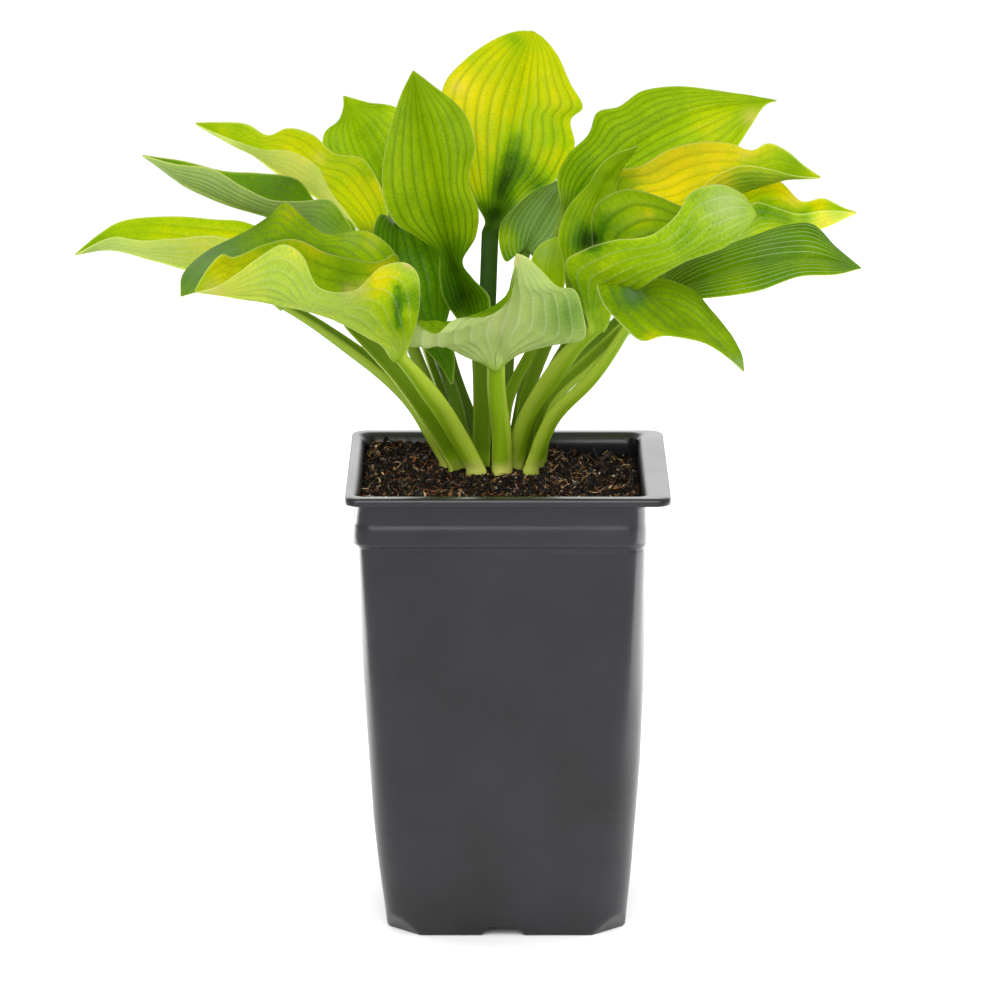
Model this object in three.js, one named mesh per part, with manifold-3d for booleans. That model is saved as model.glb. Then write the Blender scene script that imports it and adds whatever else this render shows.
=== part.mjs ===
// A hosta in a square nursery pot: millimetres, +Z up, the pot's foot on z = 0, front towards -Y.
import * as THREE from "three";
import Module from "manifold-3d";

const wasm = await Module();
wasm.setup();

// ---- driving dimensions -------------------------------------------------------------------
const POT_HEIGHT = 184;
const RIM_WIDTH = 128;            // outer width of the rolled rim
const RIM_SHIFT = 2.4;            // the rim sits this far to +X of the pot's middle
const RIM_LIP = 3.6;              // height of the rim's outer edge
const RIM_CORNER = 5.5;
const MOUTH = 58.3;               // half-width of the opening, which sits nearer to the rim's -X side
const MOUTH_SHIFT = -0.9;
const WALL = 1.3;
const FLOOR_HEIGHT = 5;           // top of the pot's raised floor
const NOTCH_WIDTH = 20;           // drainage notch at the middle of each bottom edge
const NOTCH_TOP = 12;
const NOTCH_HEIGHT = 3.6;
const CORNER_CUT = 14.3;          // length that the oblique facet takes off each bottom edge
const CORNER_RISE = 14;           // its height where the two sides would meet
const NOTCH_REACH = 14;           // length of a notch's channel under the foot
const DRAIN_RADIUS = 4;
const DRAIN_OFFSET = 24;          // each drain hole from the pot's middle, both ways
const SOIL_TOP = 180;             // soil level at the crown
const MOUND_HEIGHT = 3.2;         // the soil is drawn up around the crown
const MOUND_RADIUS = 34;
const SEAT = 0.3;                 // running gap between neighbours
const BLADE_THICKNESS = 0.8;
const RIB_THICKNESS = 1.7;
const TIP_WIDTH = 1;
const GROOVE = 0.34;              // petiole sizes as shares of its half-width
const STALK_THICKNESS = 1.05;
const STALK_LIFT = 0.45;
const HOLE_ROOM = 1.12;
const BLADE_EASE = 3;             // rows over which a blade grows out of its petiole
const FOLD_ROOM = 0.3;            // least length of the under side's step, as a share of the upper
const FOLD_THINNING = 0.8;
const FOLD_PASSES = 9;
const BELOW = 6;                  // how far cutting shapes reach under the foot
const STALK_DEPTH = 12;           // length of petiole below the soil
const CROWN = [-3, 19];           // middle of the clump on the soil

// the pot's outside from the foot up: height, half-width, corner radius and the sideways lean of
// its thin wall
const BODY_RINGS = [
  { z: 0, half: 47.9, radius: 13, lean: 1.3 },
  { z: 10, half: 49, radius: 13.5, lean: 1.2 },
  { z: 27, half: 50.9, radius: 14, lean: 0.9 },
  { z: 47, half: 52.6, radius: 14, lean: 0.6 },
  { z: 72, half: 54.3, radius: 13.5, lean: 0.5 },
  { z: 96, half: 55.4, radius: 12.5, lean: 0.4 },
  { z: 136, half: 56.6, radius: 9.5, lean: -0.1 },
  { z: 160.5, half: 56.8, radius: 7, lean: -0.3 },
  { z: 163, half: 57.4, radius: 7.5, lean: -0.4 },
  { z: 166, half: 58.2, radius: 8, lean: -0.5 },
  { z: 169.5, half: 58.2, radius: 8, lean: -0.5 },
  { z: 173, half: 57.5, radius: 7.5, lean: -0.5 },
  { z: 180, half: 57.4, radius: 7, lean: -0.6 },
];
const CORNER_STEPS = 5;
const HOLE_SIDES = 12;

// ---- small helpers ------------------------------------------------------------------------
const toSolid = (points, faces) => {
  const mesh = new wasm.Mesh({
    numProp: 3,
    vertProperties: Float32Array.from(points.flat()),
    triVerts: Uint32Array.from(faces.flat()),
  });
  mesh.merge();
  return new wasm.Manifold(mesh);
};

const toGeometry = (solid) => {
  const mesh = solid.getMesh();
  const geometry = new THREE.BufferGeometry();
  const positions = new Float32Array(mesh.vertProperties);
  geometry.setAttribute("position", new THREE.BufferAttribute(positions, 3));
  geometry.setIndex(new THREE.BufferAttribute(new Uint32Array(mesh.triVerts), 1));
  return geometry;
};

// a stack of closed rings, each a list of points, skinned and capped
const loftRings = (rings) => {
  const count = rings[0].length;
  const points = rings.flat();
  const faces = [];
  for (let r = 0; r + 1 < rings.length; r += 1) {
    for (let i = 0; i < count; i += 1) {
      const a = r * count + i;
      const b = r * count + ((i + 1) % count);
      faces.push([a, b, b + count]);
      faces.push([a, b + count, a + count]);
    }
  }
  const last = (rings.length - 1) * count;
  for (let i = 1; i + 1 < count; i += 1) {
    faces.push([0, i + 1, i]);
    faces.push([last, last + i, last + i + 1]);
  }
  return toSolid(points, faces);
};

const roundedSquare = (half, radius, z, shiftX = 0) => {
  const ring = [];
  const corners = [[1, -1], [1, 1], [-1, 1], [-1, -1]];
  corners.forEach(([sx, sy], corner) => {
    for (let i = 0; i <= CORNER_STEPS; i += 1) {
      const angle = (corner - 1 + i / CORNER_STEPS) * Math.PI / 2;
      const x = sx * (half - radius) + radius * Math.cos(angle) + shiftX;
      ring.push([x, sy * (half - radius) + radius * Math.sin(angle), z]);
    }
  });
  return ring;
};

const bodyRing = ({ z, half, radius, lean }) => roundedSquare(half, radius, z, lean);

const prism = (outline, z0, z1) => {
  const ringAt = (z) => outline.map(([x, y]) => [x, y, z]);
  return loftRings([ringAt(z0), ringAt(z1)]);
};

const circle = (radius, sides, cx = 0, cy = 0) => {
  const turn = (i) => (i / sides) * 2 * Math.PI;
  return Array.from({ length: sides }, (_, i) => [
    cx + radius * Math.cos(turn(i)),
    cy + radius * Math.sin(turn(i)),
  ]);
};

// ---- pot ----------------------------------------------------------------------------------
const insideRings = (clearance) => BODY_RINGS.map(({ z, half, radius, lean }) => ({
  z: Math.max(z, FLOOR_HEIGHT) + (z < FLOOR_HEIGHT ? clearance : 0),
  half: half - WALL - clearance,
  lean,
  radius: Math.max(radius - WALL - clearance, 2),
}));

const rimRings = () => {
  const half = RIM_WIDTH / 2;
  const under = POT_HEIGHT - RIM_LIP;
  const rows = [
    { z: under - 1.2, inset: 7 },
    { z: under - 0.6, inset: 1.4 },
    { z: under, inset: 0.3 },
    { z: under + 0.9, inset: 0 },
    { z: POT_HEIGHT - 1.2, inset: 0.2 },
    { z: POT_HEIGHT - 0.3, inset: 1 },
    { z: POT_HEIGHT, inset: 2.2 },
  ];
  return rows.map(({ z, inset }) => roundedSquare(half - inset, RIM_CORNER, z, RIM_SHIFT));
};

// the wedge beyond a bottom corner's oblique facet; inset moves the facet inwards
const cornerCutter = (sx, sy, inset) => {
  const far = BODY_RINGS[0].half + BELOW;
  const slope = CORNER_RISE / CORNER_CUT;
  const start = 2 * BODY_RINGS[0].half - CORNER_CUT - inset;
  const near = start - BELOW / slope - far;
  const at = (x, y, z) => [sx * x, sy * y, z];
  const apex = at(far, far, (2 * far - start) * slope);
  const points = [at(far, near, -BELOW), at(near, far, -BELOW), at(far, far, -BELOW), apex];
  const turned = sx * sy < 0;
  const faces = [[0, 1, 2], [0, 3, 1], [1, 3, 2], [2, 3, 0]];
  return toSolid(points, faces.map(([a, b, c]) => (turned ? [a, c, b] : [a, b, c])));
};

const notchCutter = (turns) => {
  const wide = NOTCH_WIDTH / 2;
  const narrow = NOTCH_TOP / 2;
  const upper = [[wide, 0], [narrow, NOTCH_HEIGHT], [-narrow, NOTCH_HEIGHT], [-wide, 0]];
  const outline = [[-wide, -1], [wide, -1], ...upper];
  const near = BODY_RINGS[0].half - NOTCH_REACH;
  const far = BODY_RINGS[0].half + BELOW;
  const rings = [far, near].map((y) => outline.map(([x, z]) => {
    const angle = turns * Math.PI / 2;
    return [x * Math.cos(angle) - y * Math.sin(angle), x * Math.sin(angle) + y * Math.cos(angle), z];
  }));
  return loftRings(rings);
};

const FACET_INSET = 1.8;            // sideways move of a facet for each millimetre of wall
const CORNERS = [[1, 1], [1, -1], [-1, 1], [-1, -1]];

const cutCorners = (solid, inset) => CORNERS.reduce(
  (cut, [sx, sy]) => cut.subtract(cornerCutter(sx, sy, inset)),
  solid,
);

const makePot = () => {
  let pot = loftRings(BODY_RINGS.map(bodyRing));
  pot = pot.add(loftRings(rimRings()));
  const hollow = insideRings(0).map(bodyRing);
  const mouth = [
    { z: POT_HEIGHT - 1.8, inset: 1.6 },
    { z: POT_HEIGHT - 0.5, inset: 0.4 },
    { z: POT_HEIGHT + 1, inset: 0 },
  ];
  mouth.forEach(({ z, inset }) => {
    hollow.push(roundedSquare(MOUTH - inset, RIM_CORNER, z, MOUTH_SHIFT));
  });
  pot = pot.subtract(cutCorners(loftRings(hollow), WALL * FACET_INSET));
  pot = cutCorners(pot, 0);
  for (const [sx, sy] of CORNERS) {
    const drain = circle(DRAIN_RADIUS, HOLE_SIDES, sx * DRAIN_OFFSET, sy * DRAIN_OFFSET);
    pot = pot.subtract(prism(drain, -1, FLOOR_HEIGHT + 1));
  }
  for (let turns = 0; turns < 4; turns += 1) pot = pot.subtract(notchCutter(turns));
  return pot;
};

// ---- soil ---------------------------------------------------------------------------------
const soilLevel = (x, y) => {
  const away = Math.hypot(x - CROWN[0], (y - CROWN[1]) * 0.9);
  const mound = MOUND_HEIGHT * Math.exp(-((away / MOUND_RADIUS) ** 2));
  const tilt = -0.016 * x + 0.02 * y;
  const broad = 0.7 * Math.sin(x * 0.21 + 1.3) * Math.cos(y * 0.19 - 0.4);
  const lumps = broad + 0.5 * Math.sin(x * 0.47 - y * 0.39);
  return SOIL_TOP - MOUND_HEIGHT + mound + tilt + lumps * Math.min(1, away / MOUND_RADIUS);
};

const makeSoilBlock = () => {
  const steps = 22;
  const reach = 60;
  const step = (2 * reach) / steps;
  const points = [];
  const faces = [];
  const index = (i, j, top) => (top ? 0 : (steps + 1) ** 2) + i * (steps + 1) + j;
  for (const top of [true, false]) {
    for (let i = 0; i <= steps; i += 1) {
      for (let j = 0; j <= steps; j += 1) {
        const x = -reach + i * step;
        const y = -reach + j * step;
        points.push([x, y, top ? soilLevel(x, y) : 0]);
      }
    }
  }
  const quad = (a, b, c, d) => faces.push([a, b, c], [a, c, d]);
  const side = ([i, j], [k, l]) => {
    quad(index(i, j, false), index(k, l, false), index(k, l, true), index(i, j, true));
  };
  for (let i = 0; i < steps; i += 1) {
    side([i, 0], [i + 1, 0]);
    side([i + 1, steps], [i, steps]);
    side([0, i + 1], [0, i]);
    side([steps, i], [steps, i + 1]);
    for (let j = 0; j < steps; j += 1) {
      const cell = [[i, j], [i + 1, j], [i + 1, j + 1], [i, j + 1]];
      quad(...cell.map(([k, l]) => index(k, l, true)));
      quad(...cell.reverse().map(([k, l]) => index(k, l, false)));
    }
  }
  const field = toSolid(points, faces);
  const block = field.intersect(loftRings(insideRings(SEAT).map(bodyRing)));
  return cutCorners(block, (WALL + SEAT) * FACET_INSET);
};

// ---- leaves -------------------------------------------------------------------------------
// Each leaf is laid out on a drawing of the plant, 1000 units square, seen from the front and a
// little above. A point is [across, down, depth]: the drawing's units, then the y it lies at in mm.
const SIGHT = {
  distance: 2269,
  elevation: 13.1 * Math.PI / 180,
  focal: 5619,
  middle: 500,
  aimX: -1.2,
  aimZ: 168.9,
};

const place = ([across, down, depth]) => {
  const sin = Math.sin(SIGHT.elevation);
  const cos = Math.cos(SIGHT.elevation);
  const right = (across - SIGHT.middle) / SIGHT.focal;
  const up = (SIGHT.middle - down) / SIGHT.focal;
  const range = (depth + SIGHT.distance * cos) / (cos + up * sin);
  return new THREE.Vector3(
    SIGHT.aimX + right * range,
    depth,
    SIGHT.aimZ + SIGHT.distance * sin + (up * cos - sin) * range,
  );
};

// left and right are the margins, and mid is the rib, from the petiole's end to the tip, as they
// lie looking along the leaf with its upper face up; bow arches each half between them
const LEAVES = [
  { name: "leaf_front", colour: "#8fae45", root: [-0.6, 4], width: [8.4, 7], bow: -2,
    stalk: [[501, 430, 0], [497, 395, -6]], joint: [496, 364, -14],
    left: [[521, 353, -22], [552, 345, -30], [584, 338, -38], [583, 312, -45], [574, 289, -50],
      [559, 287, -51], [542, 271, -53], [527, 257, -55]],
    mid: [[500, 342, -22], [505, 318, -32], [512, 285, -46]],
    right: [[467, 357, -18], [433, 342, -22], [409, 346, -28], [412, 320, -36], [424, 330, -40],
      [436, 334, -42], [455, 319, -44], [488, 316, -46], [507, 301, -48], [514, 280, -51]],
    tip: [516, 254, -55] },
  { name: "leaf_front_left", colour: "#b4bd38", root: [-10.5, 6], width: [9, 8], bow: -3,
    stalk: [[461, 436, 0], [436, 393, -14]], joint: [402, 352, -30],
    left: [[412, 338, -40], [420, 300, -58], [417, 272, -64], [405, 262, -66], [380, 267, -70],
      [355, 290, -76], [319, 287, -78], [302, 254, -72], [284, 244, -70], [259, 257, -70],
      [236, 274, -72], [215, 287, -68]],
    mid: [[370, 334, -46], [342, 319, -54], [313, 309, -60], [261, 298, -64]],
    right: [[392, 330, -22], [400, 290, -10], [398, 255, -10], [376, 262, -22], [332, 254, -28],
      [294, 239, -34], [262, 245, -42], [233, 257, -50], [222, 254, -54], [206, 271, -60]],
    tip: [195, 291, -64] },
  { name: "leaf_left_shaded", colour: "#5d9a2a", root: [-18.5, 10], width: [8.4, 7], bow: 2,
    stalk: [[436, 428, 6], [404, 380, -2]], joint: [352, 322, -14],
    left: [[325, 310, -20], [285, 297, -30], [245, 285, -38], [208, 290, -44]],
    mid: [[318, 285, -14], [285, 262, -16], [240, 260, -24], [200, 276, -38]],
    right: [[382, 290, -4], [397, 258, 0], [368, 231, 0], [326, 234, -2], [305, 218, 4],
      [286, 202, 8], [268, 216, 2], [242, 233, -8], [208, 250, -20], [182, 275, -34]],
    tip: [181, 296, -42] },
  { name: "leaf_left_low", colour: "#b0be2c", root: [-22.5, 17], width: [7, 6], bow: -2,
    stalk: [[414, 402, 14], [380, 367, 12], [325, 326, 10]], joint: [288, 303, 8],
    left: [[262, 270, 2], [245, 245, -2], [215, 236, -4], [173, 238, -6], [143, 240, -4],
      [112, 237, 0]],
    mid: [[240, 279, 8], [186, 266, 8], [155, 257, 8], [112, 247, 8]],
    right: [[282, 272, 16], [276, 238, 26], [246, 222, 28], [215, 219, 28], [169, 216, 26],
      [121, 221, 20], [97, 235, 14]],
    tip: [75, 254, 6] },
  { name: "leaf_left", colour: "#6a9c34", root: [-20, 25], width: [6.2, 5.4], bow: -2,
    stalk: [[432, 390, 24], [400, 310, 26]], joint: [360, 244, 26],
    left: [[346, 218, 14], [330, 199, 12], [303, 201, 12], [270, 199, 13], [242, 186, 16],
      [213, 169, 20], [177, 164, 22]],
    mid: [[310, 226, 24], [270, 214, 24], [227, 201, 24], [191, 185, 25]],
    right: [[352, 222, 32], [318, 203, 35], [298, 179, 34], [260, 173, 34], [226, 171, 34],
      [185, 161, 34]],
    tip: [143, 155, 30] },
  { name: "leaf_left_upper", colour: "#b1b81e", root: [-14, 30], width: [6.4, 5.4], bow: -2,
    stalk: [[440, 380, 34], [412, 300, 40]], joint: [371, 238, 44],
    left: [[345, 210, 42], [330, 190, 42], [318, 167, 42], [290, 151, 43], [262, 149, 44],
      [238, 141, 42], [212, 131, 48]],
    mid: [[345, 212, 46], [314, 193, 48], [277, 170, 49], [246, 147, 51]],
    right: [[388, 218, 52], [380, 184, 60], [362, 158, 62], [335, 153, 62], [312, 134, 62],
      [288, 128, 60], [268, 135, 58], [247, 124, 58], [218, 122, 56]],
    tip: [196, 123, 54] },
  { name: "leaf_left_rear", colour: "#84aa14", root: [-8, 34], width: [6.4, 5.4], bow: 2,
    stalk: [[455, 380, 44], [430, 290, 58]], joint: [402, 222, 72],
    left: [[380, 212, 72], [345, 185, 74], [324, 155, 78], [324, 133, 82], [338, 121, 86],
      [343, 107, 90]],
    mid: [[385, 180, 78], [366, 140, 84], [352, 112, 90]],
    right: [[416, 208, 72], [430, 170, 76], [424, 130, 82], [396, 107, 88], [368, 102, 92]],
    tip: [344, 96, 94] },
  { name: "leaf_centre", colour: "#7dac14", root: [-9, 15], width: [7.4, 7], bow: 2.5,
    stalk: [[482, 410, 12], [481, 365, 9]], joint: [478, 334, 7],
    left: [[456, 318, 4], [443, 298, 3], [439, 276, 4], [438, 254, 5], [421, 240, 4],
      [396, 224, 4], [384, 200, 4], [382, 172, 6], [388, 135, 10], [400, 96, 16]],
    mid: [[466, 296, 9], [454, 262, 9], [447, 234, 8], [439, 195, 8], [431, 153, 12],
      [421, 108, 18]],
    right: [[490, 312, 5], [489, 296, 4], [473, 278, 4], [463, 262, 4], [476, 237, 4],
      [479, 212, 4], [469, 180, 6], [475, 145, 8], [464, 112, 14], [432, 84, 22]],
    tip: [413, 71, 26] },
  { name: "leaf_hollow", colour: "#4c8816", root: [-14.6, 20.6], width: [5.4, 5], bow: 1.5,
    stalk: [[455, 400, 22], [428, 325, 30], [410, 262, 35]], joint: [398, 220, 31],
    left: [[422, 224, 25], [445, 246, 20], [455, 274, 17], [452, 302, 12], [447, 328, 3],
      [455, 358, -6]],
    mid: [[397, 248, 17], [404, 285, 9], [418, 322, -1], [438, 352, -8]],
    right: [[380, 214, 26], [372, 240, 17], [378, 270, 10], [391, 305, 1], [414, 338, -7],
      [440, 366, -9]],
    tip: [452, 384, -10] },
  { name: "leaf_tall", colour: "#bcc612", root: [-2.5, 27], width: [7, 7], bow: 2.5,
    stalk: [[486, 370, 40], [488, 290, 54]], joint: [490, 232, 64],
    left: [[485, 222, 63], [475, 203, 64], [463, 181, 66], [450, 150, 70], [441, 118, 74],
      [444, 84, 78], [462, 62, 82], [490, 41, 88], [516, 31, 92]],
    mid: [[498, 195, 64], [508, 150, 68], [517, 100, 78], [527, 58, 88]],
    right: [[501, 224, 62], [515, 207, 64], [535, 191, 66], [558, 179, 68], [575, 146, 70],
      [571, 120, 72], [583, 108, 72], [571, 84, 78], [558, 55, 86], [544, 38, 91]],
    tip: [533, 31, 94] },
  { name: "leaf_rear", colour: "#7f9f6a", root: [-1.4, 38.6], width: [6.2, 5.4], bow: 2,
    stalk: [[505, 390, 50], [512, 310, 66]], joint: [524, 252, 78],
    left: [[506, 262, 74], [499, 245, 76], [500, 224, 79], [514, 203, 82], [533, 186, 85],
      [550, 180, 88]],
    mid: [[534, 232, 80], [548, 208, 84], [560, 190, 88]],
    right: [[540, 266, 74], [562, 258, 76], [574, 235, 80], [578, 208, 86]],
    tip: [574, 186, 92] },
  { name: "leaf_right_rear", colour: "#8fb916", root: [5, 33], width: [6.4, 7], bow: 2.5,
    stalk: [[530, 370, 40], [552, 270, 50]], joint: [568, 212, 56],
    left: [[560, 200, 56], [557, 178, 60], [566, 156, 62], [588, 134, 64], [597, 112, 66],
      [619, 106, 66], [641, 91, 66], [672, 86, 64], [731, 92, 58]],
    mid: [[595, 180, 54], [640, 142, 54], [700, 112, 54]],
    right: [[585, 210, 50], [630, 200, 44], [685, 180, 42], [728, 158, 44], [750, 128, 48],
      [765, 106, 52]],
    tip: [776, 100, 54] },
  { name: "leaf_right_upper", colour: "#bfc214", root: [11, 28.8], width: [6.2, 5.4], bow: -2,
    stalk: [[545, 390, 31], [590, 310, 32]], joint: [634, 236, 30],
    left: [[612, 206, 36], [609, 172, 40], [640, 166, 40], [667, 150, 40], [699, 142, 38],
      [729, 143, 37], [752, 150, 35], [768, 143, 36], [786, 150, 34], [804, 165, 30]],
    mid: [[680, 210, 26], [736, 191, 24], [787, 177, 25]],
    right: [[662, 226, 22], [690, 200, 14], [712, 178, 12], [741, 165, 12], [766, 168, 16],
      [794, 175, 22]],
    tip: [820, 177, 26] },
  { name: "leaf_right_far", colour: "#a6b43a", root: [14.6, 22.6], width: [6.2, 5.4], bow: -2,
    stalk: [[552, 390, 21], [610, 328, 20]], joint: [668, 268, 16],
    left: [[685, 240, 26], [705, 205, 34], [740, 191, 34], [777, 180, 34], [802, 201, 30],
      [823, 198, 26], [843, 207, 22]],
    mid: [[721, 246, 18], [784, 229, 18], [820, 225, 18]],
    right: [[700, 256, 12], [735, 222, 8], [755, 202, 6], [775, 207, 6], [798, 213, 8],
      [825, 210, 12]],
    tip: [856, 212, 16] },
  { name: "leaf_right_dark", colour: "#4c892a", root: [13.6, 15.6], width: [6.2, 5.2], bow: 2.5,
    stalk: [[547, 405, 11], [588, 362, 7], [632, 322, 0]], joint: [664, 296, -5],
    left: [[664, 274, 0], [690, 258, 2], [740, 240, 2], [790, 224, 0], [812, 224, -2],
      [838, 248, -6]],
    mid: [[700, 280, -10], [750, 264, -14], [815, 258, -14]],
    right: [[678, 300, -12], [712, 298, -20], [759, 291, -26], [799, 277, -26], [836, 275, -20]],
    tip: [861, 268, -12] },
  { name: "leaf_right_front", colour: "#9abf3a", root: [4.6, 13.4], width: [8, 9], bow: -3.5,
    stalk: [[523, 424, 4], [543, 384, -8], [568, 347, -24]], joint: [594, 322, -36],
    left: [[601, 285, -26], [592, 245, -20], [595, 206, -18], [625, 189, -16], [650, 193, -18],
      [680, 205, -22], [710, 212, -28], [738, 208, -36]],
    mid: [[632, 289, -44], [681, 259, -48], [729, 240, -47]],
    right: [[578, 298, -42], [565, 263, -50], [583, 250, -60], [613, 240, -66], [650, 235, -66],
      [675, 216, -64], [691, 192, -60], [717, 184, -56], [742, 194, -50]],
    tip: [756, 214, -44] },
  { name: "leaf_right_low", colour: "#79ae12", root: [11, 7.6], width: [7, 6], bow: 2.5,
    stalk: [[551, 416, -3], [586, 378, -14], [612, 344, -25]], joint: [628, 318, -32],
    left: [[632, 298, -28], [648, 279, -24], [690, 288, -26], [714, 314, -30], [729, 334, -36],
      [742, 354, -42]],
    mid: [[652, 308, -34], [685, 315, -38], [718, 342, -44]],
    right: [[613, 308, -50], [597, 284, -62], [603, 303, -64], [624, 327, -64], [642, 341, -64],
      [663, 336, -62], [703, 343, -58], [733, 362, -50]],
    tip: [744, 371, -46] },
  { name: "leaf_narrow", colour: "#8cb61e", root: [7, 20.6], width: [5.6, 5], bow: 1.5,
    stalk: [[526, 400, 17], [550, 335, 12]], joint: [571, 290, 8],
    left: [[563, 262, 6], [558, 235, 8], [567, 208, 12], [588, 184, 18], [606, 159, 26]],
    mid: [[582, 255, 4], [590, 220, 10], [606, 182, 20]],
    right: [[591, 276, 2], [606, 245, 4], [612, 205, 12], [622, 170, 26]],
    tip: [638, 146, 34] },
  { name: "leaf_small", colour: "#9abd20", root: [-0.2, 19.4], width: [5.2, 4.4], bow: 1.5,
    stalk: [[508, 400, 20], [532, 350, 19]], joint: [548, 314, 18],
    left: [[536, 292, 18], [530, 264, 20], [539, 245, 22]],
    mid: [[549, 285, 16], [552, 262, 18]],
    right: [[562, 298, 15], [566, 275, 15], [563, 250, 18]],
    tip: [557, 237, 22] },
];

// centripetal spline through the points, resampled at even steps of its length
const evenLine = (points, steps) => {
  const ends = [points[0].clone().multiplyScalar(2).sub(points[1])];
  const last = points.length - 1;
  const all = [...ends, ...points, points[last].clone().multiplyScalar(2).sub(points[last - 1])];
  const fine = [];
  for (let i = 1; i <= last; i += 1) {
    const [p0, p1, p2, p3] = all.slice(i - 1, i + 3);
    const t1 = Math.sqrt(p0.distanceTo(p1));
    const t2 = t1 + Math.sqrt(p1.distanceTo(p2));
    const t3 = t2 + Math.sqrt(p2.distanceTo(p3));
    for (let k = 0; k < 12; k += 1) {
      const t = t1 + (t2 - t1) * k / 12;
      const a1 = p0.clone().lerp(p1, t / t1);
      const a2 = p1.clone().lerp(p2, (t - t1) / (t2 - t1));
      const a3 = p2.clone().lerp(p3, (t - t2) / (t3 - t2));
      const b1 = a1.lerp(a2, t / t2);
      const b2 = a2.clone().lerp(a3, (t - t1) / (t3 - t1));
      fine.push(b1.lerp(b2, (t - t1) / (t2 - t1)));
    }
  }
  fine.push(points[last].clone());
  const lengths = [0];
  for (let i = 1; i < fine.length; i += 1) lengths.push(lengths[i - 1] + fine[i].distanceTo(fine[i - 1]));
  const line = [];
  let at = 1;
  for (let i = 0; i <= steps; i += 1) {
    const want = lengths[lengths.length - 1] * i / steps;
    while (at < fine.length - 1 && lengths[at] < want) at += 1;
    const share = (want - lengths[at - 1]) / (lengths[at] - lengths[at - 1]);
    line.push(fine[at - 1].clone().lerp(fine[at], share));
  }
  return line;
};

const COLUMNS = 6;
const BLADE_ROWS = 14;
const STALK_ROWS = 7;

// the upper face of a leaf: rows of points from the buried end to the tip
const leafRows = (leaf) => {
  const joint = place(leaf.joint);
  const tip = place(leaf.tip);
  const [leftIn, midIn, rightIn] = [leaf.left, leaf.mid, leaf.right].map((line) => line.map(place));
  const across = rightIn[0].clone().sub(leftIn[0]).normalize();
  const tipAcross = rightIn.at(-1).clone().sub(leftIn.at(-1)).normalize();
  const side = (line, sign) => evenLine([
    joint.clone().addScaledVector(across, sign * leaf.width[1] / 2),
    ...line,
    tip.clone().addScaledVector(tipAcross, sign * TIP_WIDTH / 2),
  ], BLADE_ROWS);
  const left = side(leftIn, -1);
  const right = side(rightIn, 1);
  const mid = evenLine([joint, ...midIn, tip], BLADE_ROWS);

  const [rootX, rootY] = leaf.root;
  const level = soilLevel(rootX, rootY);
  const foot = new THREE.Vector3(rootX, rootY, level - STALK_DEPTH);
  const neck = new THREE.Vector3(rootX, rootY, level + 1);
  const path = evenLine([neck, ...leaf.stalk.map(place), joint], STALK_ROWS);
  path.unshift(foot);
  const rootAcross = new THREE.Vector3(across.x, across.y, 0).normalize();
  const rows = [];
  path.forEach((point, i) => {
    const share = Math.max(0, (i - 1) / STALK_ROWS);
    const ahead = path[Math.min(i + 1, path.length - 1)].clone().sub(path[Math.max(i - 1, 0)]);
    const tangent = i < 2 ? new THREE.Vector3(0, 0, 1) : ahead.normalize();
    const wide = rootAcross.clone().lerp(across, share);
    wide.addScaledVector(tangent, -wide.dot(tangent)).normalize();
    const up = wide.clone().cross(tangent);
    const half = (leaf.width[0] + (leaf.width[1] - leaf.width[0]) * share) / 2;
    const row = [];
    for (let c = 0; c <= COLUMNS; c += 1) {
      const f = (2 * c) / COLUMNS - 1;
      const lift = (1 - share) * (BLADE_THICKNESS / 2 + STALK_LIFT * half);
      const height = lift - GROOVE * half * (1 - f * f);
      const at = point.clone().addScaledVector(wide, f * half).addScaledVector(up, height);
      const depth = BLADE_THICKNESS + STALK_THICKNESS * half * Math.sqrt(1 - f * f);
      row.push({ at, up, depth });
    }
    rows.push(row);
  });
  for (let r = 1; r <= BLADE_ROWS; r += 1) {
    const wide = right[r].clone().sub(left[r]).normalize();
    const ahead = mid[Math.min(r + 1, BLADE_ROWS)].clone().sub(mid[r - 1]).normalize();
    const up = wide.cross(ahead).normalize();
    const taper = Math.min(1, (BLADE_ROWS - r) / BLADE_EASE);
    const row = [];
    for (let c = 0; c <= COLUMNS; c += 1) {
      const f = (2 * c) / COLUMNS - 1;
      const out = Math.abs(f);
      const at = mid[r].clone().lerp(f < 0 ? left[r] : right[r], out);
      at.addScaledVector(up, leaf.bow * 4 * out * (1 - out) * taper * Math.min(1, r / BLADE_EASE));
      const rib = RIB_THICKNESS * taper + (leaf.width[1] / 2) * Math.max(0, 1 - r / BLADE_EASE);
      row.push({ at, depth: BLADE_THICKNESS + (c === COLUMNS / 2 ? rib : 0) });
    }
    rows.push(row);
  }
  return rows;
};

// each point's own normal, from the cells of the upper face around it
const addNormals = (rows) => {
  const normals = rows.map((row) => row.map(() => new THREE.Vector3()));
  for (let r = 0; r + 1 < rows.length; r += 1) {
    for (let c = 0; c < COLUMNS; c += 1) {
      const [a, b] = [rows[r][c].at, rows[r][c + 1].at];
      const [d, e] = [rows[r + 1][c].at, rows[r + 1][c + 1].at];
      const face = e.clone().sub(a).cross(d.clone().sub(b));
      for (const [i, j] of [[r, c], [r, c + 1], [r + 1, c], [r + 1, c + 1]]) normals[i][j].add(face);
    }
  }
  const flat = normals.at(-1).reduce((sum, normal) => sum.add(normal), new THREE.Vector3()).normalize();
  rows.forEach((row, r) => row.forEach((cell, c) => {
    cell.normal = cell.up ?? normals[r][c].normalize();
    if (r === rows.length - 2) cell.normal.add(flat).normalize();
    if (r === rows.length - 1) cell.normal.copy(flat);
  }));
};

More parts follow.
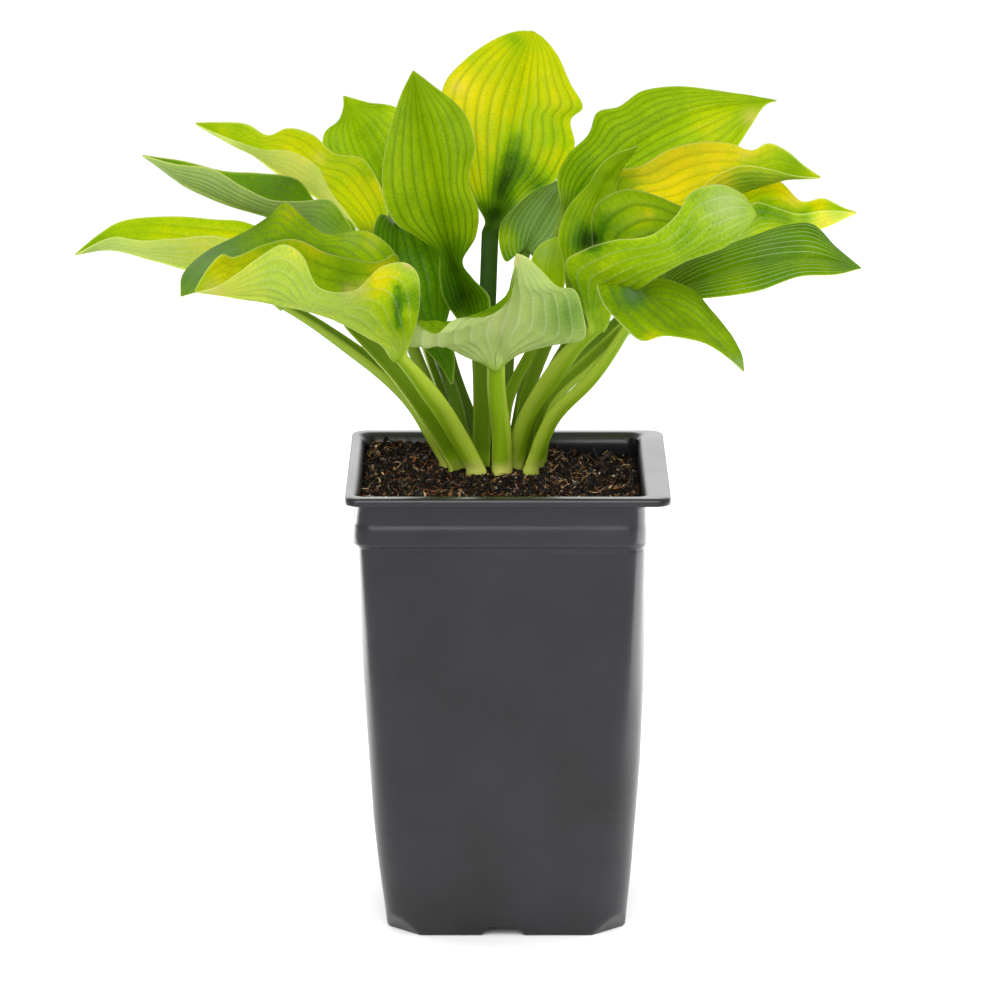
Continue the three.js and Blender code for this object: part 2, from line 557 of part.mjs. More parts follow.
// a fold tighter than the blade is thick pinches it, so that the under side never doubles back
const thinFolds = (rows) => {
  const pinch = (a, b) => {
    const step = b.at.clone().sub(a.at);
    const under = step.clone().addScaledVector(b.normal, -b.depth).addScaledVector(a.normal, a.depth);
    if (under.dot(step) > FOLD_ROOM * step.lengthSq()) return;
    a.depth *= FOLD_THINNING;
    b.depth *= FOLD_THINNING;
  };
  for (let pass = 0; pass < FOLD_PASSES; pass += 1) {
    for (let r = 0; r < rows.length; r += 1) {
      for (let c = 0; c <= COLUMNS; c += 1) {
        if (c < COLUMNS) pinch(rows[r][c], rows[r][c + 1]);
        if (r + 1 < rows.length) pinch(rows[r][c], rows[r + 1][c]);
        if (r + 1 < rows.length && c < COLUMNS) pinch(rows[r][c], rows[r + 1][c + 1]);
        if (r + 1 < rows.length && c > 0) pinch(rows[r][c], rows[r + 1][c - 1]);
      }
    }
  }
};

const makeLeaf = (leaf) => {
  const rows = leafRows(leaf);
  addNormals(rows);
  thinFolds(rows);
  const points = [];
  const faces = [];
  const count = COLUMNS + 1;
  for (const row of rows) {
    for (const cell of row) points.push(cell.at.toArray());
  }
  for (const row of rows) {
    for (const { at, normal, depth } of row) {
      points.push(at.clone().addScaledVector(normal, -depth).toArray());
    }
  }
  const under = rows.length * count;
  for (let r = 0; r + 1 < rows.length; r += 1) {
    for (let c = 0; c < COLUMNS; c += 1) {
      const a = r * count + c;
      const d = a + count;
      faces.push([a, a + 1, d + 1], [a, d + 1, d]);
      faces.push([under + a, under + d + 1, under + a + 1], [under + a, under + d, under + d + 1]);
    }
    for (const [c, sign] of [[0, 1], [COLUMNS, -1]]) {
      const a = r * count + c;
      const d = a + count;
      const strip = [[a, d, under + d], [a, under + d, under + a]];
      faces.push(...strip.map(([i, j, k]) => (sign > 0 ? [i, j, k] : [i, k, j])));
    }
  }
  const last = (rows.length - 1) * count;
  for (let c = 0; c < COLUMNS; c += 1) {
    const tip = last + c;
    faces.push([c, under + c + 1, c + 1], [c, under + c, under + c + 1]);
    faces.push([tip, tip + 1, under + tip + 1], [tip, under + tip + 1, under + tip]);
  }
  return toSolid(points, faces);
};

// ---- assembly -----------------------------------------------------------------------------
const group = new THREE.Group();
const addNode = (name, solid, colour, roughness) => {
  const material = new THREE.MeshStandardMaterial({ color: colour, roughness, metalness: 0 });
  const mesh = new THREE.Mesh(toGeometry(solid), material);
  mesh.name = name;
  group.add(mesh);
};

let soil = makeSoilBlock();
for (const leaf of LEAVES) {
  const [x, y] = leaf.root;
  const radius = HOLE_ROOM * (leaf.width[0] / 2) + SEAT;
  const level = soilLevel(x, y);
  const outline = circle(radius / Math.cos(Math.PI / HOLE_SIDES), HOLE_SIDES, x, y);
  soil = soil.subtract(prism(outline, level - STALK_DEPTH - SEAT, level + STALK_DEPTH));
}
addNode("pot", makePot(), "#37363a", 0.42);
addNode("soil", soil, "#22170f", 0.95);
for (const leaf of LEAVES) addNode(leaf.name, makeLeaf(leaf), leaf.colour, 0.5);

export default group;
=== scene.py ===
"""Dresses a hosta in a square nursery pot over its CAD frame: metres, +Z up, front towards -Y."""

import math
import random

import bmesh
import bpy
from mathutils import Euler, Matrix, Vector, noise


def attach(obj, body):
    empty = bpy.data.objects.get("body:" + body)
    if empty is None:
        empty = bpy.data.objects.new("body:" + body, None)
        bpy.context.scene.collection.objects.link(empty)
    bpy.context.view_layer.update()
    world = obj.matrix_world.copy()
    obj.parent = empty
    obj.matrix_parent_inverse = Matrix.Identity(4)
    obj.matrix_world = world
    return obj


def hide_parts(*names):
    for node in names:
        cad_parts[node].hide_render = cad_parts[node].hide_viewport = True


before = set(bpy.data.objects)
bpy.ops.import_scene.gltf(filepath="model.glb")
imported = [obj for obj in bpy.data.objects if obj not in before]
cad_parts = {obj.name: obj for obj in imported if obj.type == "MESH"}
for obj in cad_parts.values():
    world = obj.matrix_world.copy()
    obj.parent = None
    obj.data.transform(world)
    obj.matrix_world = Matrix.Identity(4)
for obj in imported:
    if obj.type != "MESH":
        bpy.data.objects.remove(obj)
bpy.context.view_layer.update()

bl_info = {
    "name": "Potted hosta",
    "version": (1, 0, 0),
    "blender": (4, 5, 0),
    "location": "3D View > Sidebar > Hosta",
    "description": "Dresses a hosta in a square nursery pot over its CAD frame",
    "category": "Object",
}

MM = 0.001


def linear(hex_colour):
    """Turns an sRGB hex colour into linear red, green and blue."""
    shares = [int(hex_colour[i:i + 2], 16) / 255 for i in (1, 3, 5)]
    return tuple(c / 12.92 if c <= 0.04045 else ((c + 0.055) / 1.055) ** 2.4 for c in shares)


def rgba(colour):
    """A linear colour, or a hex colour made linear, with full opacity."""
    if isinstance(colour, str):
        colour = linear(colour)
    return (*colour, 1.0)


# ---- the frame's own sizes, in millimetres --------------------------------------------------
POT_HEIGHT = 184
RIM_HALF = 64.3
RIM_SHIFT = 1.9
RIM_LIP = 3.1
RIM_CORNER = 5.5
MOUTH_HALF = 58.3
MOUTH_SHIFT = -0.9
FOOT_SHIFT = 1.3
WALL = 1.3
FLOOR_HEIGHT = 5
NOTCH_HALF = 10
NOTCH_TOP_HALF = 6
NOTCH_HEIGHT = 3.6
NOTCH_REACH = 14
CORNER_CUT = 14.3
CORNER_RISE = 14
DRAIN_RADIUS = 4
DRAIN_OFFSET = 24
SOIL_TOP = 180
SOIL_TILT = (-0.016, 0.02)      # rise for each millimetre across and back
MOUND_HEIGHT = 3.2
MOUND_RADIUS = 34
CROWN = (-3, 19)
GROOVE = 0.34                   # depth of a petiole's channel, as a share of its half-width
STALK_THICKNESS = 1.05
STALK_LIFT = 0.45
STALK_RISE = 0.4
STALK_DEPTH = 12
STALK_NECK = 1                  # height above the soil up to which a petiole stands straight
TIP_WIDTH = 1
BLADE_EASE = 3                  # rows over which a blade's arch and quilting grow and fade
BLADE_ROWS = 14
STALK_ROWS = 7
CHANNEL_ROWS = 1.5              # rows of the blade over which the petiole's channel flattens

# the pot's outside from the foot up: height, half-width, corner radius and sideways lean
BODY_RINGS = [
    (0, 47.9, 13, FOOT_SHIFT),
    (10, 49, 13.5, 1.2),
    (27, 50.9, 14, 0.9),
    (47, 52.6, 14, 0.6),
    (72, 54.3, 13.5, 0.5),
    (96, 55.4, 12.5, 0.4),
    (136, 56.6, 9.5, -0.1),
    (160.2, 57, 7.5, -0.5),
    (161.6, 56.7, 7, -0.6),
    (162.4, 56.9, 7, -0.7),
    (163.2, 57.9, 8, -1.1),
    (164.4, 58.4, 8.5, -1.3),
    (167, 58.5, 8.5, -1.3),
    (170, 58.2, 8, -1.2),
    (172, 57.7, 7, -1),
    (180, 57.3, 6.5, -0.6),
]

# Each leaf lies on a drawing of the plant, 1000 units square, seen from the front and a little
# above. A point is across, down and the depth y in millimetres. Left and right are the margins
# and mid is the rib, from the petiole's end to the tip; bow arches each half between them.
SIGHT_DISTANCE = 2269
SIGHT_ELEVATION = math.radians(13.1)
SIGHT_FOCAL = 5619
SIGHT_MIDDLE = 500
SIGHT_AIM_X = -1.2
SIGHT_AIM_Z = 168.9
LEAVES = {
    "leaf_front": {
        "root": (-0.6, 4),
        "width": (8.4, 7),
        "bow": -2,
        "stalk": [(501, 430, 0), (497, 395, -6)],
        "joint": (496, 364, -14),
        "left": [
            (521, 353, -22), (552, 345, -30), (584, 338, -38), (583, 312, -45), (574, 289, -50),
            (559, 287, -51), (542, 271, -53), (527, 257, -55),
        ],
        "mid": [(500, 342, -22), (505, 318, -32), (512, 285, -46)],
        "right": [
            (467, 357, -18), (433, 342, -22), (409, 346, -28), (412, 320, -36), (424, 330, -40),
            (436, 334, -42), (455, 319, -44), (488, 316, -46), (507, 301, -48), (514, 280, -51),
        ],
        "tip": (516, 254, -55),
    },
    "leaf_front_left": {
        "root": (-10.5, 6),
        "width": (9, 8),
        "bow": -3,
        "stalk": [(461, 436, 0), (436, 393, -14)],
        "joint": (402, 352, -30),
        "left": [
            (412, 338, -40), (420, 300, -58), (417, 272, -64), (405, 262, -66), (380, 267, -70),
            (355, 290, -76), (319, 287, -78), (302, 254, -72), (284, 244, -70), (259, 257, -70),
            (236, 274, -72), (215, 287, -68),
        ],
        "mid": [(370, 334, -46), (342, 319, -54), (313, 309, -60), (261, 298, -64)],
        "right": [
            (392, 330, -22), (400, 290, -10), (398, 255, -10), (376, 262, -22), (332, 254, -28),
            (294, 239, -34), (262, 245, -42), (233, 257, -50), (222, 254, -54), (206, 271, -60),
        ],
        "tip": (195, 291, -64),
    },
    "leaf_left_shaded": {
        "root": (-18.5, 10),
        "width": (8.4, 7),
        "bow": 2,
        "stalk": [(436, 428, 6), (404, 380, -2)],
        "joint": (352, 322, -14),
        "left": [(325, 310, -20), (285, 297, -30), (245, 285, -38), (208, 290, -44)],
        "mid": [(318, 285, -14), (285, 262, -16), (240, 260, -24), (200, 276, -38)],
        "right": [
            (382, 290, -4), (397, 258, 0), (368, 231, 0), (326, 234, -2), (305, 218, 4),
            (286, 202, 8), (268, 216, 2), (242, 233, -8), (208, 250, -20), (182, 275, -34),
        ],
        "tip": (181, 296, -42),
    },
    "leaf_left_low": {
        "root": (-22.5, 17),
        "width": (7, 6),
        "bow": -2,
        "stalk": [(414, 402, 14), (380, 367, 12), (325, 326, 10)],
        "joint": (288, 303, 8),
        "left": [
            (262, 270, 2), (245, 245, -2), (215, 236, -4), (173, 238, -6), (143, 240, -4),
            (112, 237, 0),
        ],
        "mid": [(240, 279, 8), (186, 266, 8), (155, 257, 8), (112, 247, 8)],
        "right": [
            (282, 272, 16), (276, 238, 26), (246, 222, 28), (215, 219, 28), (169, 216, 26),
            (121, 221, 20), (97, 235, 14),
        ],
        "tip": (75, 254, 6),
    },
    "leaf_left": {
        "root": (-20, 25),
        "width": (6.2, 5.4),
        "bow": -2,
        "stalk": [(432, 390, 24), (400, 310, 26)],
        "joint": (360, 244, 26),
        "left": [
            (346, 218, 14), (330, 199, 12), (303, 201, 12), (270, 199, 13), (242, 186, 16),
            (213, 169, 20), (177, 164, 22),
        ],
        "mid": [(310, 226, 24), (270, 214, 24), (227, 201, 24), (191, 185, 25)],
        "right": [
            (352, 222, 32), (318, 203, 35), (298, 179, 34), (260, 173, 34), (226, 171, 34),
            (185, 161, 34),
        ],
        "tip": (143, 155, 30),
    },
    "leaf_left_upper": {
        "root": (-14, 30),
        "width": (6.4, 5.4),
        "bow": -2,
        "stalk": [(440, 380, 34), (412, 300, 40)],
        "joint": (371, 238, 44),
        "left": [
            (345, 210, 42), (330, 190, 42), (318, 167, 42), (290, 151, 43), (262, 149, 44),
            (238, 141, 42), (212, 131, 48),
        ],
        "mid": [(345, 212, 46), (314, 193, 48), (277, 170, 49), (246, 147, 51)],
        "right": [
            (388, 218, 52), (380, 184, 60), (362, 158, 62), (335, 153, 62), (312, 134, 62),
            (288, 128, 60), (268, 135, 58), (247, 124, 58), (218, 122, 56),
        ],
        "tip": (196, 123, 54),
    },
    "leaf_left_rear": {
        "root": (-8, 34),
        "width": (6.4, 5.4),
        "bow": 2,
        "stalk": [(455, 380, 44), (430, 290, 58)],
        "joint": (402, 222, 72),
        "left": [
            (380, 212, 72), (345, 185, 74), (324, 155, 78), (324, 133, 82), (338, 121, 86),
            (343, 107, 90),
        ],
        "mid": [(385, 180, 78), (366, 140, 84), (352, 112, 90)],
        "right": [(416, 208, 72), (430, 170, 76), (424, 130, 82), (396, 107, 88), (368, 102, 92)],
        "tip": (344, 96, 94),
    },
    "leaf_centre": {
        "root": (-9, 15),
        "width": (7.4, 7),
        "bow": 2.5,
        "stalk": [(482, 410, 12), (481, 365, 9)],
        "joint": (478, 334, 7),
        "left": [
            (456, 318, 4), (443, 298, 3), (439, 276, 4), (438, 254, 5), (421, 240, 4),
            (396, 224, 4), (384, 200, 4), (382, 172, 6), (388, 135, 10), (400, 96, 16),
        ],
        "mid": [
            (466, 296, 9), (454, 262, 9), (447, 234, 8), (439, 195, 8), (431, 153, 12),
            (421, 108, 18),
        ],
        "right": [
            (490, 312, 5), (489, 296, 4), (473, 278, 4), (463, 262, 4), (476, 237, 4),
            (479, 212, 4), (469, 180, 6), (475, 145, 8), (464, 112, 14), (432, 84, 22),
        ],
        "tip": (413, 71, 26),
    },
    "leaf_hollow": {
        "root": (-14.6, 20.6),
        "width": (5.4, 5),
        "bow": 1.5,
        "stalk": [(455, 400, 22), (428, 325, 30), (410, 262, 35)],
        "joint": (398, 220, 31),
        "left": [
            (422, 224, 25), (445, 246, 20), (455, 274, 17), (452, 302, 12), (447, 328, 3),
            (455, 358, -6),
        ],
        "mid": [(397, 248, 17), (404, 285, 9), (418, 322, -1), (438, 352, -8)],
        "right": [
            (380, 214, 26), (372, 240, 17), (378, 270, 10), (391, 305, 1), (414, 338, -7),
            (440, 366, -9),
        ],
        "tip": (452, 384, -10),
    },
    "leaf_tall": {
        "root": (-2.5, 27),
        "width": (7, 7),
        "bow": 2.5,
        "stalk": [(486, 370, 40), (488, 290, 54)],
        "joint": (490, 232, 64),
        "left": [
            (485, 222, 63), (475, 203, 64), (463, 181, 66), (450, 150, 70), (441, 118, 74),
            (444, 84, 78), (462, 62, 82), (490, 41, 88), (516, 31, 92),
        ],
        "mid": [(498, 195, 64), (508, 150, 68), (517, 100, 78), (527, 58, 88)],
        "right": [
            (501, 224, 62), (515, 207, 64), (535, 191, 66), (558, 179, 68), (575, 146, 70),
            (571, 120, 72), (583, 108, 72), (571, 84, 78), (558, 55, 86), (544, 38, 91),
        ],
        "tip": (533, 31, 94),
    },
    "leaf_rear": {
        "root": (-1.4, 38.6),
        "width": (6.2, 5.4),
        "bow": 2,
        "stalk": [(505, 390, 50), (512, 310, 66)],
        "joint": (524, 252, 78),
        "left": [
            (506, 262, 74), (499, 245, 76), (500, 224, 79), (514, 203, 82), (533, 186, 85),
            (550, 180, 88),
        ],
        "mid": [(534, 232, 80), (548, 208, 84), (560, 190, 88)],
        "right": [(540, 266, 74), (562, 258, 76), (574, 235, 80), (578, 208, 86)],
        "tip": (574, 186, 92),
    },
    "leaf_right_rear": {
        "root": (5, 33),
        "width": (6.4, 7),
        "bow": 2.5,
        "stalk": [(530, 370, 40), (552, 270, 50)],
        "joint": (568, 212, 56),
        "left": [
            (560, 200, 56), (557, 178, 60), (566, 156, 62), (588, 134, 64), (597, 112, 66),
            (619, 106, 66), (641, 91, 66), (672, 86, 64), (731, 92, 58),
        ],
        "mid": [(595, 180, 54), (640, 142, 54), (700, 112, 54)],
        "right": [
            (585, 210, 50), (630, 200, 44), (685, 180, 42), (728, 158, 44), (750, 128, 48),
            (765, 106, 52),
        ],
        "tip": (776, 100, 54),
    },
    "leaf_right_upper": {
        "root": (11, 28.8),
        "width": (6.2, 5.4),
        "bow": -2,
        "stalk": [(545, 390, 31), (590, 310, 32)],
        "joint": (634, 236, 30),
        "left": [
            (612, 206, 36), (609, 172, 40), (640, 166, 40), (667, 150, 40), (699, 142, 38),
            (729, 143, 37), (752, 150, 35), (768, 143, 36), (786, 150, 34), (804, 165, 30),
        ],
        "mid": [(680, 210, 26), (736, 191, 24), (787, 177, 25)],
        "right": [
            (662, 226, 22), (690, 200, 14), (712, 178, 12), (741, 165, 12), (766, 168, 16),
            (794, 175, 22),
        ],
        "tip": (820, 177, 26),
    },
    "leaf_right_far": {
        "root": (14.6, 22.6),
        "width": (6.2, 5.4),
        "bow": -2,
        "stalk": [(552, 390, 21), (610, 328, 20)],
        "joint": (668, 268, 16),
        "left": [
            (685, 240, 26), (705, 205, 34), (740, 191, 34), (777, 180, 34), (802, 201, 30),
            (823, 198, 26), (843, 207, 22),
        ],
        "mid": [(721, 246, 18), (784, 229, 18), (820, 225, 18)],
        "right": [
            (700, 256, 12), (735, 222, 8), (755, 202, 6), (775, 207, 6), (798, 213, 8),
            (825, 210, 12),
        ],
        "tip": (856, 212, 16),
    },
    "leaf_right_dark": {
        "root": (13.6, 15.6),
        "width": (6.2, 5.2),
        "bow": 2.5,
        "stalk": [(547, 405, 11), (588, 362, 7), (632, 322, 0)],
        "joint": (664, 296, -5),
        "left": [
            (664, 274, 0), (690, 258, 2), (740, 240, 2), (790, 224, 0), (812, 224, -2),
            (838, 248, -6),
        ],
        "mid": [(700, 280, -10), (750, 264, -14), (815, 258, -14)],
        "right": [(678, 300, -12), (712, 298, -20), (759, 291, -26), (799, 277, -26), (836, 275, -20)],
        "tip": (861, 268, -12),
    },
    "leaf_right_front": {
        "root": (4.6, 13.4),
        "width": (8, 9),
        "bow": -3.5,
        "stalk": [(523, 424, 4), (543, 384, -8), (568, 347, -24)],
        "joint": (594, 322, -36),
        "left": [
            (601, 285, -26), (592, 245, -20), (595, 206, -18), (625, 189, -16), (650, 193, -18),
            (680, 205, -22), (710, 212, -28), (738, 208, -36),
        ],
        "mid": [(632, 289, -44), (681, 259, -48), (729, 240, -47)],
        "right": [
            (578, 298, -42), (565, 263, -50), (583, 250, -60), (613, 240, -66), (650, 235, -66),
            (675, 216, -64), (691, 192, -60), (717, 184, -56), (742, 194, -50),
        ],
        "tip": (756, 214, -44),
    },
    "leaf_right_low": {
        "root": (11, 7.6),
        "width": (7, 6),
        "bow": 2.5,
        "stalk": [(551, 416, -3), (586, 378, -14), (612, 344, -25)],
        "joint": (628, 318, -32),
        "left": [
            (632, 298, -28), (648, 279, -24), (690, 288, -26), (714, 314, -30), (729, 334, -36),
            (742, 354, -42),
        ],
        "mid": [(652, 308, -34), (685, 315, -38), (718, 342, -44)],
        "right": [
            (613, 308, -50), (597, 284, -62), (603, 303, -64), (624, 327, -64), (642, 341, -64),
            (663, 336, -62), (703, 343, -58), (733, 362, -50),
        ],
        "tip": (744, 371, -46),
    },
    "leaf_narrow": {
        "root": (7, 20.6),
        "width": (5.6, 5),
        "bow": 1.5,
        "stalk": [(526, 400, 17), (550, 335, 12)],
        "joint": (571, 290, 8),
        "left": [(563, 262, 6), (558, 235, 8), (567, 208, 12), (588, 184, 18), (606, 159, 26)],
        "mid": [(582, 255, 4), (590, 220, 10), (606, 182, 20)],
        "right": [(591, 276, 2), (606, 245, 4), (612, 205, 12), (622, 170, 26)],
        "tip": (638, 146, 34),
    },
    "leaf_small": {
        "root": (-0.2, 19.4),
        "width": (5.2, 4.4),
        "bow": 1.5,
        "stalk": [(508, 400, 20), (532, 350, 19)],
        "joint": (548, 314, 18),
        "left": [(536, 292, 18), (530, 264, 20), (539, 245, 22)],
        "mid": [(549, 285, 16), (552, 262, 18)],
        "right": [(562, 298, 15), (566, 275, 15), (563, 250, 18)],
        "tip": (557, 237, 22),
    },
}

# How each leaf is coloured: its side veins in each half; how ripe its blade is, from 0 deep green
# over 0.5 yellow-green to 1 gold; its pale bloom below; its silver, partly bloom and partly painted
# sheen; how dark its veins are drawn, as painted shade in their grooves, and how pale; and how light
# its petiole is, as painted light and shade, from 0 in shade to 1 in the light. A spot (kind, across,
# down, radius, amount) adds to one of them round a place on the drawing: r ripeness, s silver, c
# scorched peach and b bloom below. Some r spots paint shade, and some s and b spots paint sheen.
TONES = {
    "leaf_front": {
        "veins": 6, "ripe": 0.44, "bloom": 0.52, "silver_bloom_and_sheen": 0.0, "groove_shade": 0.4, "pale": 0, "stem": 1.0,
        "spots": [
            ("r", 566, 315, 28, -0.13), ("c", 516, 258, 8, 0.25), ("b", 503, 322, 20, 0.26),
            ("b", 570, 314, 28, -0.38), ("b", 428, 332, 20, 0.28), ("r", 428, 332, 20, 0.06),
        ],
    },
    "leaf_front_left": {
        "veins": 6, "ripe": 0.58, "bloom": 0.2, "silver_bloom_and_sheen": 0.0, "groove_shade": 0.6, "pale": 0, "stem": 0.95,
        "spots": [
            ("r", 225, 270, 40, 0.18), ("r", 310, 240, 22, 0.22), ("r", 345, 280, 16, -0.12),
            ("r", 382, 280, 21, 0.26), ("b", 382, 284, 20, -0.2), ("r", 414, 300, 18, -0.2),
            # the r spots along x 397 to 399 paint the shadow of a fold, and the one at (407, 312) a
            # painted highlight beside it
            ("r", 397, 288, 5, -0.3), ("r", 397, 297, 5, -0.32), ("r", 398, 306, 5, -0.34),
            ("r", 398, 315, 5, -0.34), ("r", 399, 325, 6, -0.3), ("r", 407, 312, 5, 0.2),
            ("b", 405, 310, 30, -0.34), ("c", 409, 262, 5, 0.9), ("c", 348, 290, 6, 0.3),
            ("c", 362, 289, 6, 0.25), ("c", 213, 289, 9, 0.25),
        ],
    },
    "leaf_left_shaded": {
        "veins": 7, "ripe": 0.38, "bloom": 0.24, "silver_bloom_and_sheen": 0.0, "groove_shade": 0.8, "pale": 0.1, "stem": 0.65,
        "spots": [
            # the s spots paint sheen on the glossy upper face: broad on the dark left part, small on the
            # right lobe
            ("s", 212, 264, 34, 0.45), ("r", 212, 264, 34, -0.1), ("r", 290, 216, 24, 0.3),
            ("r", 252, 240, 18, 0.08), ("r", 368, 240, 26, 0.32), ("r", 325, 236, 18, 0.2),
            ("s", 352, 238, 9, 0.2), ("s", 372, 243, 7, 0.2), ("r", 300, 255, 24, -0.14),
        ],
    },
    "leaf_left_low": {
        "veins": 6, "ripe": 0.6, "bloom": 0.34, "silver_bloom_and_sheen": 0.0, "groove_shade": 0.4, "pale": 0, "stem": 0.75,
        "spots": [
            ("r", 190, 225, 60, 0.06), ("r", 92, 245, 22, -0.14), ("r", 230, 256, 30, 0.12),
            ("b", 215, 262, 34, -0.15),
        ],
    },
    "leaf_left": {
        "veins": 7, "ripe": 0.34, "bloom": 0.36, "silver_bloom_and_sheen": 0.0, "groove_shade": 0.8, "pale": 0.08, "stem": 0.6,
        "spots": [
            ("r", 280, 190, 34, -0.08), ("r", 345, 225, 30, 0.1), ("b", 345, 222, 36, -0.36),
        ],
    },
    "leaf_left_upper": {
        "veins": 6, "ripe": 0.68, "bloom": 0.34, "silver_bloom_and_sheen": 0.0, "groove_shade": 0.5, "pale": 0, "stem": 0.5,
        "spots": [
            ("r", 298, 156, 30, 0.12), ("r", 240, 138, 18, -0.04), ("r", 352, 205, 24, 0.06),
            ("c", 320, 158, 6, 0.2), ("r", 376, 190, 14, 0.1), ("r", 203, 125, 12, -0.12),
        ],
    },
    "leaf_left_rear": {
        "veins": 6, "ripe": 0.52, "bloom": 0.3, "silver_bloom_and_sheen": 0.0, "groove_shade": 0.7, "pale": 0, "stem": 0.3,
        "spots": [
            ("r", 400, 108, 24, 0.08), ("r", 332, 150, 20, -0.04), ("r", 385, 190, 26, -0.16),
        ],
    },
    "leaf_centre": {
        "veins": 5, "ripe": 0.57, "bloom": 0.3, "silver_bloom_and_sheen": 0.0, "groove_shade": 1.1, "pale": 0, "stem": 0.4,
        "spots": [
            ("r", 462, 300, 34, -0.46), ("r", 452, 252, 20, -0.26), ("r", 440, 215, 16, -0.08),
            ("r", 418, 90, 22, -0.02), ("r", 400, 180, 22, 0.05),
        ],
    },
    "leaf_hollow": {
        "veins": 5, "ripe": 0.34, "bloom": 0.1, "silver_bloom_and_sheen": 0.0, "groove_shade": 0.9, "pale": 0, "stem": 0.3,
        "spots": [
            ("r", 450, 330, 36, -0.12), ("r", 385, 262, 20, -0.1),
        ],
    },
    "leaf_tall": {
        "veins": 6, "ripe": 0.74, "bloom": 0.3, "silver_bloom_and_sheen": 0.0, "groove_shade": 0.9, "pale": 0, "stem": 0.0,
        "spots": [
            # the spots on these three lines paint shade at the base, in the heart of the clump
            ("r", 501, 192, 12, -0.55), ("r", 506, 176, 12, -0.45), ("r", 511, 158, 12, -0.42),
            ("r", 517, 141, 11, -0.3), ("r", 524, 172, 16, -0.32), ("r", 540, 187, 13, -0.38),
            ("r", 492, 214, 13, -0.7), ("r", 476, 206, 9, -0.35), ("r", 512, 210, 12, -0.4),
            ("r", 545, 125, 24, -0.1), ("r", 515, 42, 12, -0.14), ("r", 465, 95, 26, 0.14),
            ("c", 458, 88, 8, 0.2), ("r", 580, 110, 8, -0.2),
        ],
    },
    "leaf_rear": {
        "veins": 7, "ripe": 0.26, "bloom": 0.1, "silver_bloom_and_sheen": 0.38, "groove_shade": 1.0, "pale": 0.8, "stem": 0.3,
        "spots": [
            ("r", 503, 240, 16, 0.3), ("s", 503, 245, 22, -0.6),
        ],
    },
    "leaf_right_rear": {
        "veins": 6, "ripe": 0.52, "bloom": 0.3, "silver_bloom_and_sheen": 0.0, "groove_shade": 0.9, "pale": 0, "stem": 0.4,
        "spots": [
            ("r", 585, 190, 30, -0.16), ("r", 715, 124, 38, 0.18), ("r", 585, 130, 22, -0.04),
            ("c", 752, 118, 8, 0.35),
        ],
    },
    "leaf_right_upper": {
        "veins": 6, "ripe": 0.9, "bloom": 0.06, "silver_bloom_and_sheen": 0.0, "groove_shade": 0.5, "pale": 0, "stem": 0.5,
        "spots": [
            ("r", 795, 162, 26, -0.42), ("r", 625, 188, 18, -0.26), ("r", 750, 184, 24, -0.36),
            ("c", 745, 154, 7, 0.15),
        ],
    },
    "leaf_right_far": {
        "veins": 6, "ripe": 0.86, "bloom": 0.16, "silver_bloom_and_sheen": 0.0, "groove_shade": 0.5, "pale": 0, "stem": 0.5,
        "spots": [
            ("r", 730, 224, 26, -0.5), ("c", 795, 199, 7, 0.2), ("r", 838, 206, 14, -0.26),
            ("r", 764, 211, 15, -0.42), ("r", 785, 216, 12, -0.42), ("r", 806, 215, 10, -0.4),
            ("b", 780, 214, 34, -0.3),
        ],
    },
    "leaf_right_dark": {
        "veins": 8, "ripe": 0.25, "bloom": 0.2, "silver_bloom_and_sheen": 0.0, "groove_shade": 1.0, "pale": 0.7, "stem": 0.65,
        "spots": [
            ("r", 690, 272, 24, -0.12), ("r", 735, 290, 34, 0.22), ("r", 815, 260, 32, 0.14),
            # this s spot paints sheen
            ("s", 770, 240, 20, 0.12),
        ],
    },
    "leaf_right_front": {
        "veins": 6, "ripe": 0.5, "bloom": 0.0, "silver_bloom_and_sheen": 0.0, "groove_shade": 0.9, "pale": 0, "stem": 0.7,
        "spots": [
            # the s and b spots at (722, 206) and (726, 204) paint a sheen
            ("s", 722, 206, 18, 0.15), ("b", 726, 204, 22, 0.35), ("r", 690, 235, 20, -0.05),
            ("r", 640, 210, 28, 0.13), ("r", 600, 275, 20, 0.08), ("r", 605, 228, 16, -0.1),
            # the r spot at (590, 240) paints deep shade between the leaves
            ("r", 650, 214, 5, 0.2), ("r", 580, 300, 26, -0.12), ("r", 590, 240, 10, -0.7),
        ],
    },
    "leaf_right_low": {
        "veins": 6, "ripe": 0.48, "bloom": 0.3, "silver_bloom_and_sheen": 0.0, "groove_shade": 0.7, "pale": 0.06, "stem": 0.75,
        "spots": [
            # the s and r spots at (632, 294) and (634, 294) paint the sheen and shade of the hollow by the
            # base
            ("r", 655, 341, 12, 0.34), ("s", 632, 294, 10, 0.4), ("r", 634, 294, 12, -0.3),
            ("s", 738, 366, 8, 0.5), ("r", 700, 335, 22, 0.06),
        ],
    },
    "leaf_narrow": {
        "veins": 5, "ripe": 0.52, "bloom": 0.3, "silver_bloom_and_sheen": 0.0, "groove_shade": 0.6, "pale": 0, "stem": 0.4,
        "spots": [
            # this spot paints deep shade between the leaves
            ("r", 588, 240, 14, -0.55),
        ],
    },
    "leaf_small": {
        "veins": 5, "ripe": 0.6, "bloom": 0.3, "silver_bloom_and_sheen": 0.0, "groove_shade": 0.3, "pale": 0, "stem": 0.6,
        "spots": [
            ("s", 545, 250, 12, 0.3),
        ],
    },
}

# ---- what a user would change ---------------------------------------------------------------


